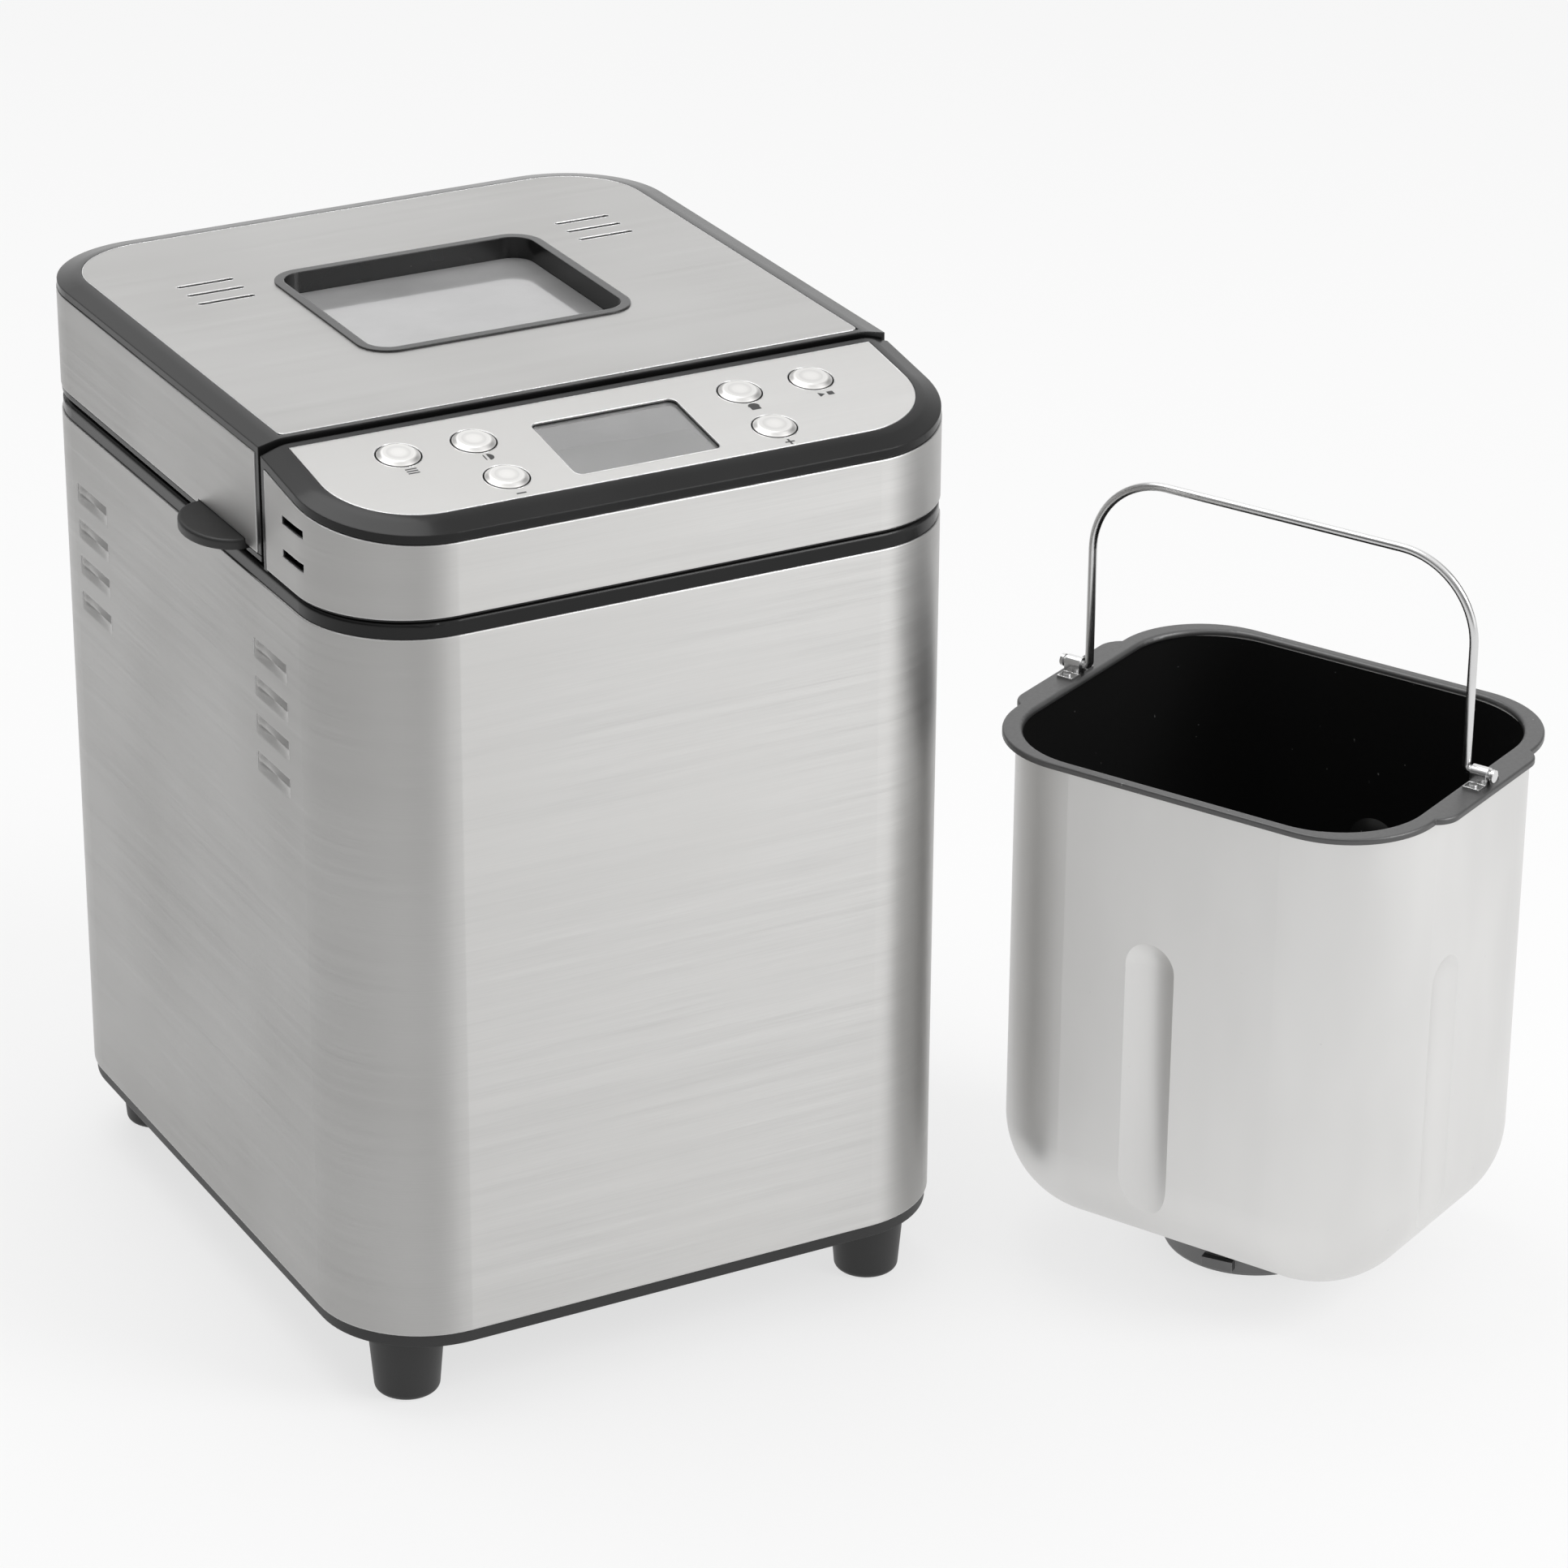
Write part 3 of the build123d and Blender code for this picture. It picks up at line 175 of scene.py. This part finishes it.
def bare_metal(name, colour, rough, grain_size=1.2 * MM, depth=0.02 * MM, spread=0.12, edge=1.2):
    """Cast, turned, pressed or drawn metal with fine surface grain and a painted highlight along its edges,
    edge times its colour.
    """
    f = Finish(name)
    per_metre = 1.0 / grain_size
    grain = f.noise((per_metre,) * 3, 3.0)
    patch = f.noise((35.0, 35.0, 35.0), 3.0)
    eased = f.rounded(0.4 * MM)
    edge_highlight_and_wear = f.edge_highlight_and_wear_mask(eased)
    dark = tuple(c * (1 - spread) for c in colour)
    shade = f.tone(patch, dark, colour, 0.35, 0.65)
    f.set(Base_Color=f.mix(edge_highlight_and_wear, shade, tuple(min(1.0, c * edge) for c in colour)), Metallic=1.0,
          Roughness=f.span(patch, 0.3, 0.7, rough - 0.05, rough + 0.06),
          Normal=f.bump(grain, depth, 0.7, eased))
    return f.material


def spun(name, centre):
    """Turned button face: soft circular grain round its own centre."""
    f = Finish(name)
    out = f.node("VectorMath", {0: f.where(), 1: centre}, operation="SUBTRACT").outputs[0]
    reach = f.node("VectorMath", {0: out}, operation="LENGTH").outputs["Value"]
    rings = f.node("TexNoise", {"W": reach, "Scale": 900.0, "Detail": 1.0}, noise_dimensions="1D").outputs[0]
    f.set(Base_Color=f.tone(rings, grey(0.62, 0.01), grey(0.76, 0.01), 0.3, 0.7), Metallic=1.0,
          Roughness=f.span(rings, 0.3, 0.7, 0.30, 0.36), Normal=f.bump(rings, 0.002 * MM, 0.3))
    return f.material


def glass(name, tint, clear, rough):
    """Flat glass with a faint haze and fine dust."""
    f = Finish(name)
    film = f.noise((28.0, 28.0, 28.0), 4.0)
    dust = f.noise((900.0, 900.0, 900.0), 2.0)
    f.set(Base_Color=f.tone(film, grey(tint * 0.9), grey(tint * 1.08), 0.35, 0.7),
          Roughness=f.span(film, 0.35, 0.7, rough, rough + 0.06), IOR=1.5, Transmission_Weight=clear,
          Specular_IOR_Level=0.7, Coat_Weight=0.6, Coat_Roughness=0.04,
          Normal=f.bump(dust, 0.004 * MM, 0.4))
    return f.material


def display_panel():
    """The unlit liquid-crystal cell: a plain grey with a slight drift of tone."""
    f = Finish("display")
    cell = f.noise((2600.0, 2600.0, 2600.0), 1.0)
    drift = f.noise((30.0, 30.0, 30.0), 2.0)
    shade = f.tone(drift, (0.235, 0.240, 0.225), (0.285, 0.288, 0.272), 0.3, 0.7)
    f.set(Base_Color=shade, Roughness=f.span(cell, 0.3, 0.7, 0.42, 0.52),
          Normal=f.bump(cell, 0.004 * MM, 0.3))
    return f.material


def circuit_board():
    """Green solder mask with copper tracks under it."""
    f = Finish("circuit_board")
    tracks = f.node("TexBrick", {"Vector": f.where(), "Scale": 160.0, "Mortar Size": 0.05,
                                 "Color1": (0.01, 0.09, 0.03, 1), "Color2": (0.015, 0.12, 0.04, 1),
                                 "Mortar": (0.05, 0.22, 0.07, 1)})
    f.set(Base_Color=tracks.outputs["Color"], Roughness=0.35,
          Normal=f.bump(tracks.outputs["Fac"], 0.03 * MM, 0.5))
    return f.material


def pan_skin(axis):
    """Light aluminium outside, black non-stick inside. Which way the wall faces tells the two apart."""
    f = Finish("pan_skin")
    coords = f.node("TexCoord")
    place, normal = coords.outputs["Object"], coords.outputs["Normal"]
    out = f.node("VectorMath", {0: place, 1: axis}, operation="SUBTRACT").outputs[0]
    facing = f.node("VectorMath", {0: out, 1: normal}, operation="DOT_PRODUCT").outputs["Value"]
    outside = f.math("GREATER_THAN", facing, 0.0)
    fine = f.noise((260.0, 260.0, 1500.0), 3.0)
    soft = f.noise((14.0, 14.0, 5.0), 3.0)
    pits = f.noise((420.0, 420.0, 420.0), 1.0)
    metal = f.tone(soft, grey(0.66, 0.006), grey(0.78, 0.006), 0.3, 0.7)
    scuffed = f.mix(f.span(pits, 0.80, 0.86, 0.0, 0.4), metal, grey(0.42))
    specks = f.span(f.noise((620.0, 620.0, 620.0), 0.0), 0.86, 0.89, 0.0, 0.6)
    coating = f.mix(specks, grey(0.008), grey(0.30))
    f.set(Base_Color=f.mix(outside, coating, scuffed), Metallic=outside,
          Roughness=f.math("ADD", f.math("MULTIPLY", outside, 0.10), f.span(soft, 0.3, 0.7, 0.30, 0.36)),
          Normal=f.bump(fine, 0.012 * MM, 0.5))
    return f.material


def coated(name, colour, rough):
    """Dark non-stick coating over sheet: fine orange peel, with a painted highlight of lighter grey along
    its edges.
    """
    f = Finish(name)
    peel = f.noise((700.0, 700.0, 700.0), 2.0)
    specks = f.span(f.noise((620.0, 620.0, 620.0), 0.0), 0.86, 0.89, 0.0, 0.6)
    eased = f.rounded(0.5 * MM)
    edge_highlight_and_wear = f.edge_highlight_and_wear_mask(eased, 0.85)
    body = f.mix(specks, grey(colour), grey(0.3))
    f.set(Base_Color=f.mix(f.math("MULTIPLY", edge_highlight_and_wear, 0.4), body, grey(0.30)), Metallic=0.7,
          Roughness=f.span(peel, 0.3, 0.7, rough, rough + 0.08), Normal=f.bump(peel, 0.02 * MM, 0.4, eased))
    return f.material


def button_faces():
    """One turned face for each button, centred on its own cap."""
    faces = {}
    for name in frame["nodes"]:
        if name.startswith("button_"):
            low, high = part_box(name)
            faces[name] = spun(f"{name}_face", (low + high) / 2)
    return faces


def dress(names, material):
    """Gives CAD nodes this material in every slot."""
    for name in names:
        mesh = frame["nodes"][name].data
        for index in range(max(1, len(mesh.materials))):
            if index < len(mesh.materials):
                mesh.materials[index] = material
            else:
                mesh.materials.append(material)


joints = {joint["name"]: joint for joint in frame["record"]["behaviour"]["joints"]}
panel_up = -Vector(joints["menu_press"]["axis"]).normalized()

wall_steel = brushed("wall_steel", 0.56, (26.0, 26.0, 2100.0), "Z", 0.43)
plate_steel = brushed("plate_steel", 0.60, (24.0, 2000.0, 2000.0), "X", 0.40, 0.07)
rim_gloss = plastic("rim_gloss", 0.006, 0.22, 0.5 * MM, 0.003 * MM, 2.6, 0.10, 0.22)
black_matt = plastic("black_matt", 0.014, 0.46, 0.35 * MM, 0.02 * MM, 1.9)
trim_grey = plastic("trim_grey", 0.014, 0.26, 0.5 * MM, 0.004 * MM, 2.4, 0.2, 0.35)

dress(["body_wrap", "lid_band", "control_band"], wall_steel)
dress(["lid_top_plate", "control_plate"], plate_steel)
dress(["lid_frame", "control_housing", "lid_trim", "top_collar"], rim_gloss)
dress(["base_tray", "lid_tab", "foot_front_left", "foot_front_right", "foot_rear_left", "foot_rear_right"],
      black_matt)
dress(["window_bezel"], trim_grey)
dress(["window_glass"], glass("window_glass", 0.42, 0.35, 0.10))
dress(["inner_glass"], glass("inner_glass", 0.80, 0.90, 0.02))
dress(["lcd_window"], glass("lcd_glass", 0.62, 0.75, 0.06))
dress(["lcd_module"], display_panel())
dress(["chamber_liner", "lid_liner", "pan_socket", "chassis_plate", "motor_bracket"],
      bare_metal("galvanised", grey(0.50), 0.36, 6 * MM, 0.02 * MM, 0.2))
dress(["heating_element", "temperature_sensor"], bare_metal("heater_tube", (0.10, 0.095, 0.09), 0.55))
dress(["drive_shaft", "motor_shaft", "pan_shaft", "hinge_pins", "hinge_brackets"],
      bare_metal("ground_steel", grey(0.58), 0.24))
dress(["bearing_housing", "drive_dog", "wing_coupling", "pan_base_ring"],
      bare_metal("die_cast", grey(0.20), 0.46, 0.8 * MM, 0.05 * MM, 0.2, 1.8))
dress(["kneading_paddle"], coated("paddle_coating", 0.03, 0.30))
dress(["drive_bush", "pan_bush"], bare_metal("sintered_bronze", (0.50, 0.33, 0.16), 0.40))
dress(["drive_pulley", "motor_pulley"], plastic("pulley_nylon", 0.55, 0.40, 0.8 * MM, 0.02 * MM, 1.2))
dress(["drive_belt", "lid_gasket"], plastic("rubber", 0.03, 0.62, 0.5 * MM, 0.05 * MM, 1.3))
dress(["motor_case"], bare_metal("motor_paint", grey(0.10), 0.42))
dress(["power_board", "control_board"], circuit_board())
dress(["power_inlet"], plastic("inlet_plastic", 0.02, 0.42, 0.4 * MM, 0.02 * MM, 1.8))
dress(["housing_screws", "lid_screws", "saddle_rivets"], bare_metal("fastener", grey(0.55), 0.28))
dress(["bail"], bare_metal("drawn_wire", grey(0.72), 0.20, 1.5 * MM, 0.01 * MM, 0.10))
dress(["bail_saddles"], bare_metal("bright_zinc", grey(0.74), 0.22, 2.0 * MM, 0.02 * MM, 0.15))
dress(["pan_rim"], coated("rim_coating", 0.11, 0.36))
pan_low, pan_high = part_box("pan_rim")
pan_axis = ((pan_low.x + pan_high.x) / 2, (pan_low.y + pan_high.y) / 2, 0.12)
dress(["pan_shell"], pan_skin(pan_axis))
for button, face in button_faces().items():
    dress([button], face)


# ================================================================ pieces
def make_piece(name, points, faces, material, body):
    """A mesh piece that rides on a body, from points in metres."""
    mesh = bpy.data.meshes.new(name)
    mesh.from_pydata(points, [], faces)
    mesh.shade_smooth()
    mesh.materials.append(material)
    piece = bpy.data.objects.new(name, mesh)
    bpy.context.scene.collection.objects.link(piece)
    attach(piece, body)


POCKET_LONG, POCKET_HIGH, POCKET_DEEP, POCKET_END = 27.4 * MM, 7.6 * MM, 2.4 * MM, 5.0 * MM
POCKET_LIP = 0.14                        # share of the height over which the top lip turns back out
SKIN_PROUD, SKIN_TUCK, SKIN_MARGIN = 0.05 * MM, 0.1 * MM, 0.6 * MM
SKIN_STEPS_ALONG, SKIN_STEPS_UP = 44, 16
LOUVRES_PER_COLUMN, LOUVRE_TOP, LOUVRE_PITCH = 4, 274.5 * MM, 14.1 * MM
LOUVRE_COLUMNS = (("rear", 83 * MM), ("front", -76 * MM))


def pocket_depth(along, up):
    """How deep a louvre's pocket is: it slopes in towards its top lip and has rounded ends."""
    from_end = POCKET_LONG / 2 - abs(along)
    if from_end <= 0:
        return 0.0
    short = max(0.0, 1 - from_end / POCKET_END)
    rise = up / POCKET_HIGH
    slope = min(rise / (1 - POCKET_LIP), (1 - rise) / POCKET_LIP)
    return POCKET_DEEP * slope * (1 - short ** 2) ** 0.5


def louvre_column(name, wall_x, side, middle_y, lows):
    """One column of pressed louvres: a skin over the wall's openings, with a soft pocket in each."""
    points, faces = [], []
    row = SKIN_STEPS_ALONG + 1
    for low in lows:
        first = len(points)
        for i in range(SKIN_STEPS_UP + 1):
            up = i / SKIN_STEPS_UP * (POCKET_HIGH + 2 * SKIN_MARGIN) - SKIN_MARGIN
            for j in range(row):
                along = (j / SKIN_STEPS_ALONG - 0.5) * (POCKET_LONG + 4 * SKIN_MARGIN)
                deep = pocket_depth(along, min(max(up, 0.0), POCKET_HIGH))
                edge = i in (0, SKIN_STEPS_UP) or j in (0, SKIN_STEPS_ALONG)
                out = -SKIN_TUCK if edge else SKIN_PROUD - deep
                points.append((wall_x + side * out, middle_y + along, low + up))
        for i in range(SKIN_STEPS_UP):
            for j in range(SKIN_STEPS_ALONG):
                a = first + i * row + j
                corners = (a, a + 1, a + row + 1, a + row)
                faces.append(corners if side > 0 else corners[::-1])
    make_piece(name, points, faces, wall_steel, "housing")


def make_louvres():
    """The louvre columns of both flanks."""
    low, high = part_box("body_wrap")
    middle = (low.y + high.y) / 2
    lows = [LOUVRE_TOP - POCKET_HIGH - LOUVRE_PITCH * n for n in range(LOUVRES_PER_COLUMN)]
    for label, wall_x, side in (("left", low.x, -1), ("right", high.x, 1)):
        for end, offset in LOUVRE_COLUMNS:
            louvre_column(f"louvres_{label}_{end}", wall_x, side, middle + offset, lows)


SAME_PLACE = 0.01 * MM                   # corners nearer than this are one corner
TOP_SLACK = 0.05 * MM                    # faces this near the highest point are the top


def top_loops(node, up):
    """The outlines of a plate's upper surface, as closed lists of points."""
    mesh, place = node.data, node.matrix_world
    points = [place @ v.co for v in mesh.vertices]
    key = [tuple(round(c / SAME_PLACE) for c in p) for p in points]
    level = max(p.dot(up) for p in points)
    count, at = {}, {}
    for face in mesh.polygons:
        corners = list(face.vertices)
        if min(points[i].dot(up) for i in corners) < level - TOP_SLACK:
            continue
        for a, b in zip(corners, corners[1:] + corners[:1]):
            at[key[a]], at[key[b]] = points[a], points[b]
            edge = frozenset((key[a], key[b]))
            count[edge] = count.get(edge, 0) + 1
    ways = {}
    for edge, uses in count.items():
        if uses == 1 and len(edge) == 2:
            a, b = edge
            ways.setdefault(a, []).append(b)
            ways.setdefault(b, []).append(a)
    loops = []
    while ways:
        start = here = next(iter(ways))
        loop = []
        while here in ways and ways[here]:
            following = ways[here].pop()
            ways[following].remove(here)
            loop.append(at[here])
            here = following
        ways = {k: v for k, v in ways.items() if v}
        if here == start and len(loop) > 3:
            loops.append(loop)
    return loops


BEAD_RADIUS, BEAD_SIDES, BEAD_SUNK = 0.15 * MM, 6, 0.6


def edge_beads(name, plate, up, body):
    """A thin bead along a plate's cut edges, coloured far lighter than the plate as a painted highlight."""
    points, faces = [], []
    for loop in top_loops(frame["nodes"][plate], up):
        first, count = len(points), len(loop)
        for k, here in enumerate(loop):
            ahead = (loop[(k + 1) % count] - loop[k - 1]).normalized()
            across = ahead.cross(up).normalized()
            for n in range(BEAD_SIDES):
                turn = 2 * pi * n / BEAD_SIDES
                points.append(here + BEAD_RADIUS * (cos(turn) * across + (sin(turn) - BEAD_SUNK) * up))
        for k in range(count):
            for n in range(BEAD_SIDES):
                a, b = first + k * BEAD_SIDES, first + (k + 1) % count * BEAD_SIDES
                following = (n + 1) % BEAD_SIDES
                faces.append((a + n, b + n, b + following, a + following))
    make_piece(name, points, faces, edge_highlight_steel, body)


def bar(x, y, wide, high):
    """A rectangle round x, y."""
    return [(x - wide / 2, y - high / 2), (x + wide / 2, y - high / 2),
            (x + wide / 2, y + high / 2), (x - wide / 2, y + high / 2)]


def arc(x, y, radius, start, end):
    """A slice of a disc, from one angle in degrees to another."""
    turns = [radians(start + (end - start) * i / 20) for i in range(21)]
    return [(x + radius * cos(t), y + radius * sin(t)) for t in turns]


# Each symbol as flat shapes in millimetres, y pointing to the back.
MARKS = {
    "button_menu": [bar(0, dy, 4.2, 0.7) for dy in (-1.4, 0.0, 1.4)],
    "button_color": [arc(0, 0, 2.1, -90, 90), bar(-1.2, 0, 0.5, 3.4)],
    "button_minus": [bar(0, 0, 3.6, 0.8)],
    "button_plus": [bar(0, 0, 3.6, 0.8), bar(0, 1.1, 0.8, 1.4), bar(0, -1.1, 0.8, 1.4)],
    "button_loaf": [bar(0, -0.7, 3.6, 2.2), arc(0, 0.4, 2.2, 0, 180)],
    "button_start_stop": [[(-2.8, -1.5), (-0.4, 0.0), (-2.8, 1.5)], bar(1.7, 0, 2.4, 2.4)],
}
MARK_FROM_BUTTON, MARK_PROUD = 11.3 * MM, 0.03 * MM


def make_marks():
    """A plain printed symbol in front of each button, on the sloping panel."""
    ink = plastic("mark_ink", 0.02, 0.5, 0.3 * MM, 0.002 * MM, 1.5)
    down = Vector((0.0, -panel_up.z, panel_up.y))
    for name, shapes in MARKS.items():
        points, faces = [], []
        low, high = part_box(name)
        middle = (low + high) / 2
        back_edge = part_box("control_plate")[1]
        surface = Vector((0, back_edge.y, back_edge.z))
        centre = middle + (surface - middle).dot(panel_up) * panel_up + MARK_FROM_BUTTON * down
        for shape in shapes:
            first = len(points)
            for x, y in shape:
                points.append(centre + x * MM * Vector((1, 0, 0)) - y * MM * down + MARK_PROUD * panel_up)
            faces.append(tuple(range(first, len(points))))
        make_piece(name.replace("button", "mark"), points, faces, ink, "housing")


# The beads' near-white metal is a painted highlight along the plates' cut edges.
edge_highlight_steel = bare_metal("cut_edge_highlight", grey(0.86), 0.22, 1.0 * MM, 0.004 * MM, 0.08)
make_louvres()
edge_beads("lid_plate_edge_highlight", "lid_top_plate", Vector((0, 0, 1)), "lid")
edge_beads("control_plate_edge_highlight", "control_plate", panel_up, "housing")
make_marks()


# ================================================================ stage, light and camera
def make_floor():
    """A wide pale sweep that glows a little, so that shadows on it stay faint."""
    mesh = bpy.data.meshes.new("floor")
    shape = bmesh.new()
    bmesh.ops.create_grid(shape, x_segments=1, y_segments=1, size=8.0)
    shape.to_mesh(mesh)
    shape.free()
    floor = bpy.data.objects.new("floor", mesh)
    bpy.context.scene.collection.objects.link(floor)
    floor.location.z = -0.2 * MM
    f = Finish("floor")
    f.set(Base_Color=(0.22, 0.22, 0.22, 1.0), Roughness=0.9, Specular_IOR_Level=0.0,
          Emission_Color=(1.0, 1.0, 1.0, 1.0), Emission_Strength=0.705)
    mesh.materials.append(f.material)


# Sky tones by compass direction, as softboxes with darker gaps between them. 0 is +X, a quarter is +Y.
SKY = ((0.00, 0.08), (0.06, 0.35), (0.13, 1.25), (0.22, 1.15), (0.30, 0.14), (0.42, 0.10), (0.55, 0.18),
       (0.62, 0.35), (0.67, 0.40), (0.71, 0.10), (0.745, 0.08), (0.79, 1.15), (0.86, 1.40), (0.92, 1.40),
       (0.96, 0.25), (1.0, 0.08))
OVERHEAD = 1.0
SKY_POWER = 2.0                          # a ramp holds no tone over 1, so the tones are scaled by this


def make_sky():
    """The studio round the object: tones by compass direction, turning to one tone overhead."""
    world = bpy.data.worlds.new("studio")
    bpy.context.scene.world = world
    world.use_nodes = True
    nodes, links = world.node_tree.nodes, world.node_tree.links
    coords = nodes.new("ShaderNodeTexCoord")
    parts = nodes.new("ShaderNodeSeparateXYZ")
    links.new(coords.outputs["Generated"], parts.inputs[0])
    turn = nodes.new("ShaderNodeMath")
    turn.operation = "ARCTAN2"
    links.new(parts.outputs["Y"], turn.inputs[0])
    links.new(parts.outputs["X"], turn.inputs[1])
    share = nodes.new("ShaderNodeMath")
    share.operation = "DIVIDE"
    links.new(turn.outputs[0], share.inputs[0])
    share.inputs[1].default_value = 2 * pi
    wrapped = nodes.new("ShaderNodeMath")
    wrapped.operation = "FRACT"
    links.new(share.outputs[0], wrapped.inputs[0])
    ramp = nodes.new("ShaderNodeValToRGB")
    ramp.color_ramp.interpolation = "B_SPLINE"
    stops = ramp.color_ramp.elements
    while len(stops) < len(SKY):
        stops.new(0.5)
    for stop, (place, value) in zip(stops, SKY):
        stop.position = place
        stop.color = (*(value / SKY_POWER,) * 3, 1.0)
    links.new(wrapped.outputs[0], ramp.inputs[0])
    rise = nodes.new("ShaderNodeMapRange")
    for key, value in (("From Min", 0.45), ("From Max", 0.9), ("To Min", 0.0), ("To Max", 1.0)):
        rise.inputs[key].default_value = value
    links.new(parts.outputs["Z"], rise.inputs["Value"])
    blend = nodes.new("ShaderNodeMix")
    blend.data_type = "RGBA"
    links.new(rise.outputs[0], blend.inputs["Factor"])
    links.new(ramp.outputs[0], blend.inputs[6])
    blend.inputs[7].default_value = (*(OVERHEAD / SKY_POWER,) * 3, 1.0)
    nodes["Background"].inputs["Strength"].default_value = SKY_POWER
    links.new(blend.outputs[2], nodes["Background"].inputs["Color"])


def soft_light(name, place, target, size, power):
    """A round softbox that points at target."""
    lamp = bpy.data.lights.new(name, "AREA")
    lamp.shape = "DISK"
    lamp.size = size
    lamp.energy = power
    light = bpy.data.objects.new(name, lamp)
    light.location = place
    light.rotation_euler = (Vector(target) - Vector(place)).to_track_quat("-Z", "Y").to_euler()
    bpy.context.scene.collection.objects.link(light)


def make_camera():
    """The camera's place and turn: azimuth from +Y towards +X, elevation below the horizon, then roll."""
    place = Vector((-0.898515, -1.642173, 1.03488))
    azimuth, elevation, roll = radians(28.588557), radians(24.803444), radians(0.420835)
    ahead = Vector((sin(azimuth) * cos(elevation), cos(azimuth) * cos(elevation), -sin(elevation)))
    level = Vector((cos(azimuth), -sin(azimuth), 0))
    upright = level.cross(ahead)
    right = cos(roll) * level + sin(roll) * upright
    up = cos(roll) * upright - sin(roll) * level
    lens = bpy.data.cameras.new("camera")
    lens.lens, lens.sensor_width = 129.72, 36.0
    camera = bpy.data.objects.new("camera", lens)
    camera.matrix_world = Matrix.Translation(place) @ Matrix((right, up, -ahead)).transposed().to_4x4()
    bpy.context.scene.collection.objects.link(camera)
    bpy.context.scene.camera = camera


make_floor()
make_sky()
soft_light("key", (1.3, -1.6, 1.7), (-0.1, 0.0, 0.2), 1.2, 24.0)
soft_light("top", (-0.3, 0.5, 1.9), (0.0, 0.0, 0.2), 1.4, 12.0)
make_camera()
bpy.context.scene.view_settings.view_transform = "Standard"
